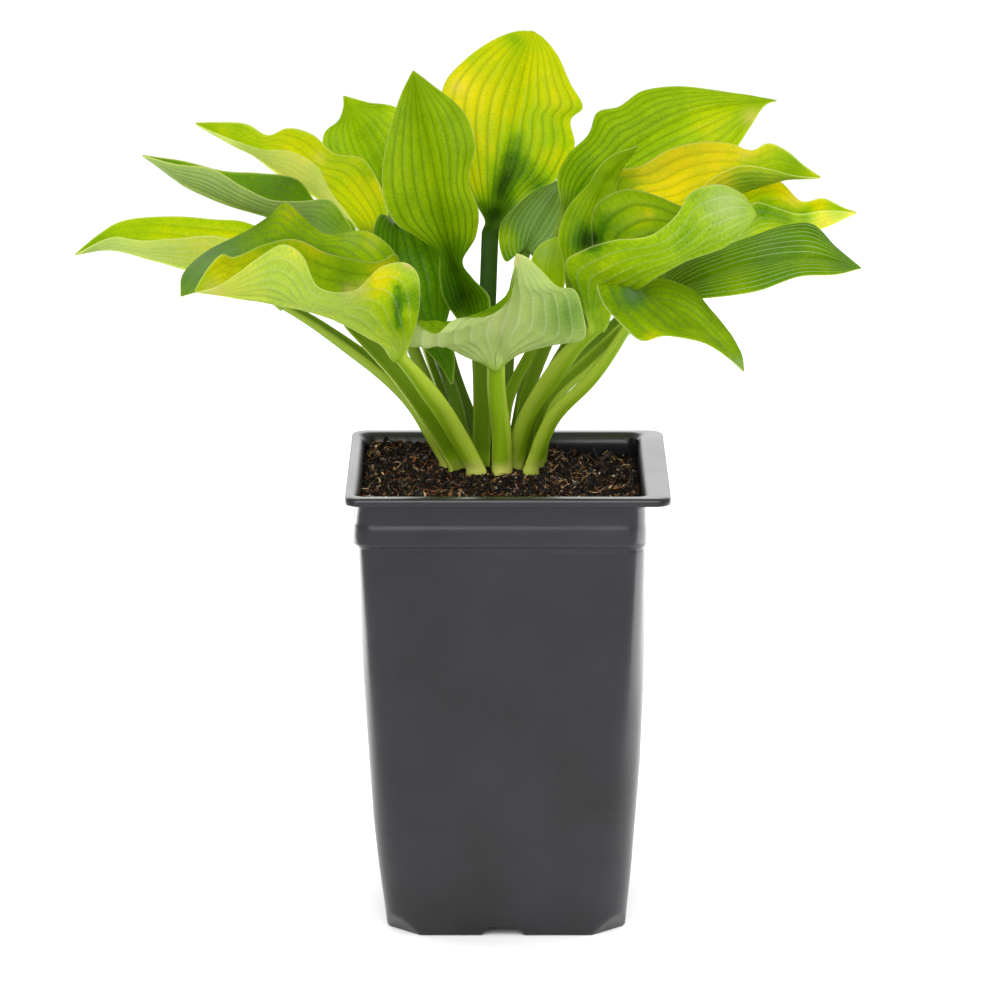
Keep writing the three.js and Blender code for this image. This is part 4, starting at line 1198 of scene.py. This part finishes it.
# the rim from the collar up, over the lip and into the mouth: height above the lip's underside,
# or below the top where it is negative or nought, half-width, corner radius and sideways lean
UNDER_RIM = (
    (-1.6, 57.6, 6.6, -0.5),
    (-0.9, 58.4, 6.2, 0.0),
    (-0.5, 60, 5.8, 1.0),
    (-0.25, 62, 5.5, 1.6),
    (-0.1, RIM_HALF - 0.7, RIM_CORNER, RIM_SHIFT),
    (0.1, RIM_HALF - 0.25, RIM_CORNER, RIM_SHIFT),
    (0.5, RIM_HALF, RIM_CORNER, RIM_SHIFT),
)
OVER_RIM = (
    (-1.1, RIM_HALF - 0.1, RIM_CORNER, RIM_SHIFT),
    (-0.6, RIM_HALF - 0.3, RIM_CORNER, RIM_SHIFT),
    (-0.25, RIM_HALF - 0.7, RIM_CORNER, RIM_SHIFT),
    (-0.06, RIM_HALF - 1.2, RIM_CORNER, RIM_SHIFT),
    (0, RIM_HALF - 1.8, RIM_CORNER, RIM_SHIFT - 0.1),
    (0, MOUTH_HALF + 1.6, RIM_CORNER, MOUTH_SHIFT + 0.7),
    (-0.05, MOUTH_HALF + 0.7, RIM_CORNER, MOUTH_SHIFT),
    (-0.25, MOUTH_HALF + 0.1, RIM_CORNER, MOUTH_SHIFT),
    (-0.7, MOUTH_HALF - 0.5, RIM_CORNER, MOUTH_SHIFT),
    (-1.8, MOUTH_HALF - 1.6, RIM_CORNER, MOUTH_SHIFT),
)


def ring_points(half, radius):
    """Points round a square with rounded corners, as x and y in millimetres."""
    points = []
    straight = half - radius
    for side in range(4):
        turn = Matrix.Rotation(side * math.pi / 2, 2)
        for i in range(CORNER_STEPS + 1):
            angle = (i / CORNER_STEPS) * math.pi / 2 - math.pi / 2
            corner = Vector((straight + radius * math.cos(angle), -straight + radius * math.sin(angle)))
            points.append(turn @ corner)
        for share in SIDE_SHARES:
            points.append(turn @ Vector((half, straight * share)))
    return points


def ring_at(z):
    """Half-width, corner radius and lean of the pot's outside at a height."""
    for low, high in zip(BODY_RINGS, BODY_RINGS[1:]):
        if z <= high[0]:
            share = (z - low[0]) / (high[0] - low[0])
            return tuple(mix(a, b, share) for a, b in zip(low[1:], high[1:]))
    return BODY_RINGS[-1][1:]


def pot_rows():
    """The pot's section: from the middle of its underside, up, over the rim and down inside."""
    rows = [(0, *POLE, FOOT_SHIFT, 0)]
    for half, radius in ((20, 6), (34, 9), (47, 12.5)):
        rows.append((0, half, radius, FOOT_SHIFT, 0))
    for z in OUTSIDE_HEIGHTS:
        half, radius, lean = ring_at(z)
        soft = 0.5 if z == OUTSIDE_HEIGHTS[0] else 0
        rows.append((z, half - soft, radius, lean, 0))
    for start, rings in ((POT_HEIGHT - RIM_LIP, UNDER_RIM), (POT_HEIGHT, OVER_RIM)):
        for rise, half, radius, lean in rings:
            rows.append((start + rise, half, radius, lean, 0))
    inset = WALL * FACET_INSET
    for z in INSIDE_HEIGHTS:
        half, radius, lean = ring_at(z)
        rows.append((z, half - WALL, radius - WALL, lean, inset))
    rows.append((FLOOR_HEIGHT, 30, 8, FOOT_SHIFT, inset))
    rows.append((FLOOR_HEIGHT, *POLE, FOOT_SHIFT, inset))
    return rows


def box_between(mesh_data, low, high):
    """Adds a box between two corners given in millimetres."""
    low, high = Vector(low) * MM, Vector(high) * MM
    size = Matrix.Diagonal((*(high - low), 1))
    bmesh.ops.create_cube(mesh_data, size=1, matrix=Matrix.Translation((low + high) / 2) @ size)


def pot_openings():
    """What is cut out of the foot: four drain holes, and a notch in each side."""
    cutter = bmesh.new()
    radius = DRAIN_RADIUS * MM
    for sx in (-1, 1):
        for sy in (-1, 1):
            middle = Vector((sx * DRAIN_OFFSET, sy * DRAIN_OFFSET, FLOOR_HEIGHT / 2)) * MM
            bmesh.ops.create_cone(
                cutter, cap_ends=True, segments=32, radius1=radius, radius2=radius,
                depth=(FLOOR_HEIGHT + 4) * MM, matrix=Matrix.Translation(middle))
    near = BODY_RINGS[0][1] - NOTCH_REACH
    far = BODY_RINGS[0][1] + 6
    for side in range(4):
        before = set(cutter.verts)
        box_between(cutter, (near, -NOTCH_HALF, -1), (far, NOTCH_HALF, NOTCH_HEIGHT))
        turn = Matrix.Rotation(side * math.pi / 2, 3, "Z")
        for vert in set(cutter.verts) - before:
            if vert.co.z > 0:
                vert.co.y *= NOTCH_TOP_HALF / NOTCH_HALF
            vert.co = turn @ vert.co
    return cutter


def cut_away(piece, cutter_data):
    """Takes a cutter's shape out of a piece."""
    cutter = new_object("cutter", new_mesh("cutter", cutter_data))
    cut = piece.modifiers.new("cut", "BOOLEAN")
    cut.operation = "DIFFERENCE"
    cut.solver = "EXACT"
    cut.object = cutter
    shaped = piece.evaluated_get(bpy.context.evaluated_depsgraph_get())
    result = bpy.data.meshes.new_from_object(shaped)
    piece.modifiers.clear()
    piece.data = result
    cutter_mesh = cutter.data
    bpy.data.objects.remove(cutter)
    bpy.data.meshes.remove(cutter_mesh)


def make_pot(material):
    """The pot's wall, rim and foot as one closed skin, then its notches and drain holes."""
    rows = pot_rows()
    points = [ring_points(half, radius) for _, half, radius, _, _ in rows]
    ring = len(points[0])
    slope = CORNER_RISE / CORNER_CUT
    mesh_data = bmesh.new()
    bmesh.ops.create_grid(mesh_data, x_segments=ring, y_segments=len(rows) - 1, size=1)
    for vert in mesh_data.verts:
        c = round((vert.co.x + 1) / 2 * ring) % ring
        r = round((vert.co.y + 1) / 2 * (len(rows) - 1))
        z, half, _, lean, inset = rows[r]
        x, y = points[r][c]
        excess = abs(x) + abs(y) - (2 * BODY_RINGS[0][1] - CORNER_CUT - inset) - z / slope
        if excess > 0:
            x -= math.copysign(excess / 2, x)
            y -= math.copysign(excess / 2, y)
        at = Vector((x + lean, y, z))
        if DENT_LOW < z < DENT_HIGH and half > 40:
            # slow waves about 45 mm long and ripples about 14 mm long
            dent = 0.35 * noise.noise(at * 0.022) + 0.12 * noise.noise(at * 0.07)
            ease = smooth((z - DENT_LOW) / 30) * smooth((DENT_HIGH - z) / 12)
            at += Vector((x, y, 0)).normalized() * dent * ease
        vert.co = at * MM
    close_up(mesh_data, 1e-3 * MM)
    piece = new_piece("pot_moulding", mesh_data, material, "nursery_plastic", "pot")
    cut_away(piece, pot_openings())
    piece.data.shade_smooth()
    piece.data.set_sharp_from_angle(angle=SHARP_ANGLE)
    return piece


# painted shade: the plastic is drawn darker towards the foot
SHADED_FOOT_PLASTIC = "#050506"
FLOW_TINT = "#27232c"
FLOW_MARK = 35.7        # millimetres
ORANGE_PEEL = 1.25      # millimetres
FOOT_SHADE_HEIGHT = 160         # millimetres over which the colour grows to its full lightness


def pot_material(colours):
    """Injection-moulded polypropylene: satin, with a faint orange peel and slow flow marks."""
    material, tree, output = new_material("moulded_polypropylene")
    place_node = add_node(tree, "ShaderNodeTexCoord").outputs["Object"]
    flow = add_node(tree, "ShaderNodeTexNoise", {
        "Vector": place_node, "Scale": 1 / (FLOW_MARK * MM), "Detail": 3.0,
        "Roughness": 0.5}).outputs[0]
    peel = add_node(tree, "ShaderNodeTexNoise", {
        "Vector": place_node, "Scale": 1 / (ORANGE_PEEL * MM), "Detail": 2.0,
        "Roughness": 0.5}).outputs[0]
    # painted shade: the colour darkens towards the foot
    height = add_node(tree, "ShaderNodeSeparateXYZ", {0: place_node}).outputs[2]
    rise = add_node(tree, "ShaderNodeMapRange", {
        0: height, 1: 0.0, 2: FOOT_SHADE_HEIGHT * MM, 3: 0.0, 4: 1.0}).outputs[0]
    tint = add_node(tree, "ShaderNodeMix", {
        0: rise, 6: rgba(SHADED_FOOT_PLASTIC), 7: rgba(colours.plastic)}, data_type="RGBA").outputs[2]
    purple = add_node(tree, "ShaderNodeMapRange", {0: flow, 1: 0.35, 2: 0.7, 3: 0.0, 4: 0.5}).outputs[0]
    colour = add_node(tree, "ShaderNodeMix", {0: purple, 6: tint, 7: rgba(FLOW_TINT)},
                      data_type="RGBA").outputs[2]
    rough = add_node(tree, "ShaderNodeMapRange", {0: flow, 1: 0.3, 2: 0.7, 3: 0.26, 4: 0.33}).outputs[0]
    relief = add_node(tree, "ShaderNodeBump", {
        "Strength": 0.12, "Distance": 0.2 * MM, "Height": peel}).outputs[0]
    surface = add_node(tree, "ShaderNodeBsdfPrincipled", {
        "Base Color": colour, "Roughness": rough, "IOR": 1.49, "Normal": relief})
    tree.links.new(surface.outputs[0], output.inputs["Surface"])
    return material


class HOSTA_OT_pot(bpy.types.Operator):
    """Mould the square nursery pot over its CAD pot"""

    bl_idname = "hosta.pot"
    bl_label = "Pot"

    def execute(self, context):
        make_pot(pot_material(context.scene.hosta_colours))
        return {"FINISHED"}


# ---- soil, in millimetres -------------------------------------------------------------------
SOIL_CELLS = 190        # cells across the soil's top
SOIL_SEAT = 0.3         # gap between the soil and the wall
SOIL_BRIM = 176         # height at which the soil's top meets the wall
SOIL_RINGS = (150, 96, 40, FLOOR_HEIGHT + SOIL_SEAT)
SOIL_SLACK = 0.6        # further gap below the soil's top
FACET_SLACK = 4         # gap between the soil and the cut corners
CALM_REACH = 6          # how far from a petiole the crumbs reach their full height
CALM_SHARE = 0.15       # share of that height that is left beside a petiole
LUMP_HEIGHT = 3.4
LUMP_MIDDLE = 0.45      # mean of the lumps' pattern
CRUMB_HEIGHT = 0.8
SOIL_SINK = 0.3         # the crumbly top lies this much lower than the plain one
CORNER_SLOPES = ((-50, 50, 2.4, 180), (50, 48, -2.6, 500))    # x, y, height and spread


def peat_height(x, y):
    """Height of the crumbly soil surface: calm near the petioles, banked up in a rear corner."""
    at = Vector((x, y, 0))
    # clods about 6 mm, lumps about 3 mm and crumbs about 1 mm wide
    clods = noise.noise(at * 0.16 + Vector((3, 8, 0)))
    lumps = noise.turbulence(at * 0.33, 3, False, noise_basis="BLENDER")
    crumbs = noise.noise(at * 0.95)
    near = min(math.hypot(x - leaf["root"][0], y - leaf["root"][1]) - leaf["width"][0] / 2
               for leaf in LEAVES.values())
    rough = CALM_SHARE + (1 - CALM_SHARE) * smooth(near / CALM_REACH)
    relief = clods + LUMP_HEIGHT * (lumps - LUMP_MIDDLE) + CRUMB_HEIGHT * crumbs
    slopes = sum(height * math.exp(-((x - corner_x) ** 2 + (y - corner_y) ** 2) / spread)
                 for corner_x, corner_y, height, spread in CORNER_SLOPES)
    return soil_level(x, y) + slopes + rough * relief - SOIL_SINK


def make_soil(material):
    """Peat filling the pot: a crumbly top over a plain block down to the pot's floor."""
    top_half, top_radius, top_lean = ring_at(SOIL_BRIM)
    inner = top_half - WALL - SOIL_SEAT
    corner = (top_radius - WALL) / inner
    mesh_data = bmesh.new()
    bmesh.ops.create_grid(mesh_data, x_segments=SOIL_CELLS, y_segments=SOIL_CELLS, size=1)
    for vert in mesh_data.verts:
        u, v = vert.co.x, vert.co.y
        reach = max(abs(u), abs(v))
        over = max(0, min(abs(u), abs(v)) - (1 - corner) * reach)
        squeeze = 1 - over * 0.35 * over / corner
        x, y = u * inner * squeeze + top_lean, v * inner * squeeze
        vert.co = Vector((x, y, peat_height(x, y))) * MM
    rim = [edge for edge in mesh_data.edges if edge.is_boundary]
    for z in SOIL_RINGS:
        made = bmesh.ops.extrude_edge_only(mesh_data, edges=rim)
        verts = [item for item in made["geom"] if isinstance(item, bmesh.types.BMVert)]
        rim = [item for item in made["geom"] if isinstance(item, bmesh.types.BMEdge)]
        at_half, at_radius, at_lean = ring_at(z)
        half = at_half - WALL - SOIL_SEAT - SOIL_SLACK
        share = half / inner
        facet = 2 * BODY_RINGS[0][1] - CORNER_CUT - FACET_SLACK + z * CORNER_CUT / CORNER_RISE
        limit = min(2 * half - 0.8 * at_radius, facet)
        for vert in verts:
            x = (vert.co.x / MM - top_lean) * share
            y = vert.co.y / MM * share
            excess = max(0, abs(x) + abs(y) - limit) / 2
            x -= math.copysign(excess, x)
            y -= math.copysign(excess, y)
            vert.co = Vector((x + at_lean, y, z)) * MM
        top_lean, inner = at_lean, half
    bmesh.ops.holes_fill(mesh_data, edges=rim, sides=0)
    bmesh.ops.recalc_face_normals(mesh_data, faces=mesh_data.faces)
    return new_piece("peat_bed", mesh_data, material, "potting_mix", "soil")


HOLLOW_PEAT = "#080504"
CLOD_SHADE = "#0a0706"
DRY_PEAT = "#6a4526"
GRAIN = 1.111           # millimetres
CLOD = 5.263            # millimetres


def soil_material(colours):
    """Damp sphagnum peat: near black in the hollows and dry brown on the crumbs' tops, partly damp and dry
    peat and partly painted shade, with painted shade in broad pockets.
    """
    material, tree, output = new_material("damp_peat")
    place_node = add_node(tree, "ShaderNodeTexCoord").outputs["Object"]
    grain = add_node(tree, "ShaderNodeTexNoise", {
        "Vector": place_node, "Scale": 1 / (GRAIN * MM), "Detail": 5.0, "Roughness": 0.7}).outputs[0]
    clod = add_node(tree, "ShaderNodeTexNoise", {
        "Vector": place_node, "Scale": 1 / (CLOD * MM), "Detail": 4.0, "Roughness": 0.6}).outputs[0]
    peat = add_node(tree, "ShaderNodeValToRGB", {0: grain}, stops=[
        (0.38, rgba(HOLLOW_PEAT)), (0.55, rgba(colours.peat)), (0.74, rgba(DRY_PEAT))]).outputs[0]
    # painted shade: broad pockets are drawn darker, towards the clod shade colour
    painted_pocket_light = add_node(tree, "ShaderNodeMapRange", {0: clod, 1: 0.35, 2: 0.65, 3: 0.35, 4: 1.0}).outputs[0]
    colour = add_node(tree, "ShaderNodeMix", {0: painted_pocket_light, 6: rgba(CLOD_SHADE), 7: peat},
                      data_type="RGBA").outputs[2]
    relief = add_node(tree, "ShaderNodeBump", {
        "Strength": 0.8, "Distance": 0.6 * MM, "Height": grain}).outputs[0]
    surface = add_node(tree, "ShaderNodeBsdfPrincipled", {
        "Base Color": colour, "Roughness": 0.85, "Specular IOR Level": 0.15, "Normal": relief})
    tree.links.new(surface.outputs[0], output.inputs["Surface"])
    return material


class HOSTA_OT_soil(bpy.types.Operator):
    """Fill the pot with peat over the CAD soil"""

    bl_idname = "hosta.soil"
    bl_label = "Soil"

    def execute(self, context):
        make_soil(soil_material(context.scene.hosta_colours))
        return {"FINISHED"}


# ---- crumbs and fibres on the soil, in millimetres ------------------------------------------
SCATTER_X = (-55.5, 54.5)
SCATTER_Y = (-55, 55)
STALK_CLEARANCE = 0.62      # least distance from a petiole's middle, as a share of its width
CRUMB_SEED = 11
CRUMB_SIZES = (0.45, 1.5)   # shares of the mean size
CRUMB_STRETCH = ((0.7, 1.5), (0.6, 1.1), (0.45, 0.9))
FIBRE_SEED = 23
FIBRE_LENGTH = (1.2, 5.4)
FIBRE_WIDTH = (0.22, 0.5)
FIBRE_PITCH = (0.25, 0.35)  # mean and spread in radians
FIBRE_BEND = 1.1
FIBRE_CUTS = 3
TWIG_COUNT = 9
TWIG_PLACE = (39.5, 36)
TWIG_LENGTH = (4, 8.5)
TWIG_WIDTH = (0.5, 0.9)
TWIG_PITCH = (0.9, 1.5)     # radians


def scatter(draw):
    """A place on the soil inside the pot, clear of the petioles."""
    while True:
        x, y = draw.uniform(*SCATTER_X), draw.uniform(*SCATTER_Y)
        if all(math.hypot(x - leaf["root"][0], y - leaf["root"][1])
               > STALK_CLEARANCE * leaf["width"][0] for leaf in LEAVES.values()):
            return x, y


def drawn_shade(draw):
    """A drawn colour for one bit; the material reads its first share."""
    return (draw.random(), draw.random(), draw.random(), 1)


def make_crumbs(material, sizes):
    """Loose crumbs of peat and bark pressed into the soil."""
    draw = random.Random(CRUMB_SEED)
    shape = bmesh.new()
    bmesh.ops.create_icosphere(shape, subdivisions=1, radius=0.5)
    ball = new_mesh("crumb", shape)
    mesh_data = bmesh.new()
    tone = mesh_data.verts.layers.float_color.new("tone")
    for _ in range(sizes.crumb_count):
        x, y = scatter(draw)
        first = len(mesh_data.verts)
        mesh_data.from_mesh(ball)
        mesh_data.verts.ensure_lookup_table()
        size = sizes.crumb_size / MM * draw.uniform(*CRUMB_SIZES)
        stretch = Vector([draw.uniform(*limits) for limits in CRUMB_STRETCH])
        turn = Euler([draw.uniform(0, math.tau) for _ in range(3)]).to_matrix()
        centre = Vector((x, y, peat_height(x, y) + 0.15 * size))
        shade = drawn_shade(draw)
        for vert in mesh_data.verts[first:]:
            rough = 1 + 0.35 * noise.noise(vert.co * 3 + centre)
            point = turn @ (vert.co * stretch * rough) * size
            vert.co = (centre + point) * MM
            vert[tone] = shade
    bpy.data.meshes.remove(ball)
    return new_piece("peat_crumbs", mesh_data, material, "potting_mix")


def make_fibres(material, sizes):
    """Loose curved peat fibres, and a tuft of small upright twigs in a rear corner."""
    draw = random.Random(FIBRE_SEED)
    shape = bmesh.new()
    bmesh.ops.create_cone(shape, cap_ends=True, segments=3, radius1=0.5, radius2=0.5, depth=1)
    sides = [edge for edge in shape.edges if abs(edge.verts[0].co.z - edge.verts[1].co.z) > 0.5]
    bmesh.ops.subdivide_edges(shape, edges=sides, cuts=FIBRE_CUTS)
    rod = new_mesh("fibre", shape)
    brim_half, _, brim_lean = ring_at(SOIL_BRIM)
    limit = brim_half - WALL - 0.7
    mesh_data = bmesh.new()
    tone = mesh_data.verts.layers.float_color.new("tone")
    for i in range(sizes.fibre_count + TWIG_COUNT):
        twig = i >= sizes.fibre_count
        if twig:
            x, y = [middle + draw.uniform(-1, 1) for middle in TWIG_PLACE]
            length, width = draw.uniform(*TWIG_LENGTH), draw.uniform(*TWIG_WIDTH)
            pitch = draw.uniform(*TWIG_PITCH)
        else:
            x, y = scatter(draw)
            length, width = draw.uniform(*FIBRE_LENGTH), draw.uniform(*FIBRE_WIDTH)
            pitch = draw.gauss(*FIBRE_PITCH)
        lean = Euler((0, -pitch, draw.uniform(0, math.tau))).to_matrix()
        bend = draw.uniform(-FIBRE_BEND, FIBRE_BEND)
        start = Vector((x, y, peat_height(x, y) + 0.35))
        shade = drawn_shade(draw)
        first = len(mesh_data.verts)
        mesh_data.from_mesh(rod)
        mesh_data.verts.ensure_lookup_table()
        for vert in mesh_data.verts[first:]:
            s = vert.co.z + (0.5 if twig else 0)
            taper = 1 - 0.6 * abs(s - 0.3 if twig else s)
            spine = Vector((s * length, bend * length * s * s, 0.25 * length * s * s * bend))
            point = spine + Vector((0, vert.co.x * width * taper, vert.co.y * width * taper))
            at = start + lean @ point
            if not twig:
                # a loose fibre lies on the soil and inside the wall
                at.z = max(at.z, peat_height(at.x, at.y) - 0.1)
                at.x = min(limit + brim_lean, max(brim_lean - limit, at.x))
                at.y = min(limit, max(-limit, at.y))
            vert.co = at * MM
            vert[tone] = shade
    bpy.data.meshes.remove(rod)
    return new_piece("peat_fibres", mesh_data, material, "potting_mix")


BLACK_BARK = "#0f0906"
DARK_BARK = "#2a170b"
BROWN_BARK = "#54311a"
RED_BARK = "#b85f24"
STRAW = "#dcb587"
PERLITE = "#d9d2c4"
DEBRIS_GRAIN = 0.909    # millimetres
PAINTED_SHADE_POCKET = 8         # millimetres


def debris_material(colours):
    """Dry peat fibre, composted bark and a few pale grains of perlite."""
    material, tree, output = new_material("dry_peat_fibre")
    tone = add_node(tree, "ShaderNodeAttribute", attribute_name="tone").outputs["Color"]
    kind = add_node(tree, "ShaderNodeSeparateColor", {0: tone}).outputs[0]
    place_node = add_node(tree, "ShaderNodeTexCoord").outputs["Object"]
    ramp = add_node(tree, "ShaderNodeValToRGB", {0: kind}, stops=[
        (0.0, rgba(BLACK_BARK)), (0.30, rgba(DARK_BARK)), (0.50, rgba(BROWN_BARK)),
        (0.65, rgba(colours.fibre)), (0.83, rgba(RED_BARK)), (0.88, rgba(STRAW)),
        (0.975, rgba(PERLITE))])
    ramp.color_ramp.interpolation = "CONSTANT"
    grain = add_node(tree, "ShaderNodeTexNoise", {
        "Vector": place_node, "Scale": 1 / (DEBRIS_GRAIN * MM), "Detail": 4.0,
        "Roughness": 0.65}).outputs[0]
    pocket = add_node(tree, "ShaderNodeTexNoise", {
        "Vector": place_node, "Scale": 1 / (PAINTED_SHADE_POCKET * MM), "Detail": 2.0,
        "Roughness": 0.5}).outputs[0]
    # painted shade: bits in broad pockets are drawn darker
    painted_pocket_light = add_node(tree, "ShaderNodeMapRange", {0: pocket, 1: 0.42, 2: 0.6, 3: 0.16, 4: 1.25}).outputs[0]
    shade = add_node(tree, "ShaderNodeMapRange", {0: grain, 1: 0.3, 2: 0.7, 3: 0.45, 4: 1.25}).outputs[0]
    shade = add_node(tree, "ShaderNodeMath", {0: shade, 1: painted_pocket_light}, operation="MULTIPLY").outputs[0]
    colour = add_node(tree, "ShaderNodeVectorMath", {0: ramp.outputs[0], 3: shade},
                      operation="SCALE").outputs[0]
    surface = add_node(tree, "ShaderNodeBsdfPrincipled", {
        "Base Color": colour, "Roughness": 0.5, "Specular IOR Level": 0.4})
    tree.links.new(surface.outputs[0], output.inputs["Surface"])
    return material


class HOSTA_OT_debris(bpy.types.Operator):
    """Scatter crumbs, fibres and twigs over the soil"""

    bl_idname = "hosta.debris"
    bl_label = "Crumbs and fibres"

    def execute(self, context):
        scene = context.scene
        material = debris_material(scene.hosta_colours)
        make_crumbs(material, scene.hosta_sizes)
        make_fibres(material, scene.hosta_sizes)
        return {"FINISHED"}


# ---- studio, in metres ----------------------------------------------------------------------
FLOOR_SIZE = 20
WORLD_LIGHT = 0.62
# name, place, aim, width, height and power
PANELS = (
    ("backdrop", (0, 1.5, 0.68), (0, 0, 0.4), 3, 0.85, 14),
    ("left strip", (-0.3, 0.27, 0.09), (0, 0.27, 0.09), 0.5, 0.16, 1.45),
    ("right strip", (0.3, 0.16, 0.09), (0, 0.16, 0.09), 0.7, 0.16, 1.8),
)
OVERHEAD_POWER = 2.5
OVERHEAD_ANGLE = math.radians(50)
OVERHEAD_TURN = (math.radians(52), math.radians(-10), 0)
SENSOR_WIDTH = 36       # millimetres
CLIP_END = 100


def area_light(name, place_at, aim, width, height, power):
    """A soft white light panel aimed at a point."""
    data = bpy.data.lights.new(name, "AREA")
    data.shape = "RECTANGLE"
    data.size = width
    data.size_y = height
    data.energy = power
    light = new_object(name, data)
    light.location = place_at
    light.rotation_euler = (Vector(aim) - Vector(place_at)).to_track_quat("-Z", "Y").to_euler()


class HOSTA_OT_stage(bpy.types.Operator):
    """Lay a pale floor, hang soft lights and set the camera"""

    bl_idname = "hosta.stage"
    bl_label = "Studio"

    def execute(self, context):
        scene = context.scene
        mesh_data = bmesh.new()
        bmesh.ops.create_grid(mesh_data, x_segments=1, y_segments=1, size=FLOOR_SIZE)
        floor = new_object("floor", new_mesh("floor", mesh_data))
        material, tree, output = new_material("white_paper_floor")
        surface = add_node(tree, "ShaderNodeBsdfPrincipled", {
            "Base Color": rgba(scene.hosta_colours.floor), "Roughness": 0.9,
            "Specular IOR Level": 0.1})
        tree.links.new(surface.outputs[0], output.inputs["Surface"])
        floor.data.materials.append(material)

        world = bpy.data.worlds.new("studio")
        world.use_nodes = True
        back = world.node_tree.nodes["Background"]
        back.inputs["Color"].default_value = (1, 1, 1, 1)
        back.inputs["Strength"].default_value = WORLD_LIGHT
        scene.world = world
        for panel in PANELS:
            area_light(*panel)
        sky = bpy.data.lights.new("overhead", "SUN")
        sky.energy = OVERHEAD_POWER
        sky.angle = OVERHEAD_ANGLE
        new_object("overhead", sky).rotation_euler = OVERHEAD_TURN

        camera_data = bpy.data.cameras.new("camera")
        camera_data.sensor_width = SENSOR_WIDTH
        camera_data.lens = SIGHT_FOCAL / (2 * SIGHT_MIDDLE) * SENSOR_WIDTH
        camera_data.clip_end = CLIP_END
        camera = new_object("camera", camera_data)
        reach = SIGHT_DISTANCE * MM
        camera.location = (
            SIGHT_AIM_X * MM,
            -reach * math.cos(SIGHT_ELEVATION),
            SIGHT_AIM_Z * MM + reach * math.sin(SIGHT_ELEVATION),
        )
        camera.rotation_euler = (math.pi / 2 - SIGHT_ELEVATION, 0, 0)
        scene.camera = camera
        scene.view_settings.view_transform = "Standard"
        return {"FINISHED"}


class HOSTA_PT_panel(bpy.types.Panel):
    """Lists the sizes and colours, and the pieces in their order"""

    bl_idname = "HOSTA_PT_panel"
    bl_label = "Potted hosta"
    bl_space_type = "VIEW_3D"
    bl_region_type = "UI"
    bl_category = "Hosta"

    def draw(self, context):
        layout = self.layout
        for group in (context.scene.hosta_sizes, context.scene.hosta_colours):
            for key in group.__annotations__:
                layout.prop(group, key)
        for operator in OPERATORS:
            layout.operator(operator.bl_idname)


OPERATORS = (HOSTA_OT_stage, HOSTA_OT_pot, HOSTA_OT_soil, HOSTA_OT_debris, HOSTA_OT_leaves)
CLASSES = (HostaSizes, HostaColours, *OPERATORS, HOSTA_PT_panel)


def register():
    """Registers the classes and hangs their settings on the scene."""
    for item in CLASSES:
        bpy.utils.register_class(item)
    bpy.types.Scene.hosta_sizes = bpy.props.PointerProperty(type=HostaSizes)
    bpy.types.Scene.hosta_colours = bpy.props.PointerProperty(type=HostaColours)


def unregister():
    """Takes the settings and classes away again."""
    del bpy.types.Scene.hosta_colours
    del bpy.types.Scene.hosta_sizes
    for item in reversed(CLASSES):
        bpy.utils.unregister_class(item)


def main():
    """Builds everything in order."""
    register()
    bpy.ops.hosta.stage()
    bpy.ops.hosta.pot()
    bpy.ops.hosta.soil()
    bpy.ops.hosta.debris()
    bpy.ops.hosta.leaves()


if __name__ == "__main__":
    main()
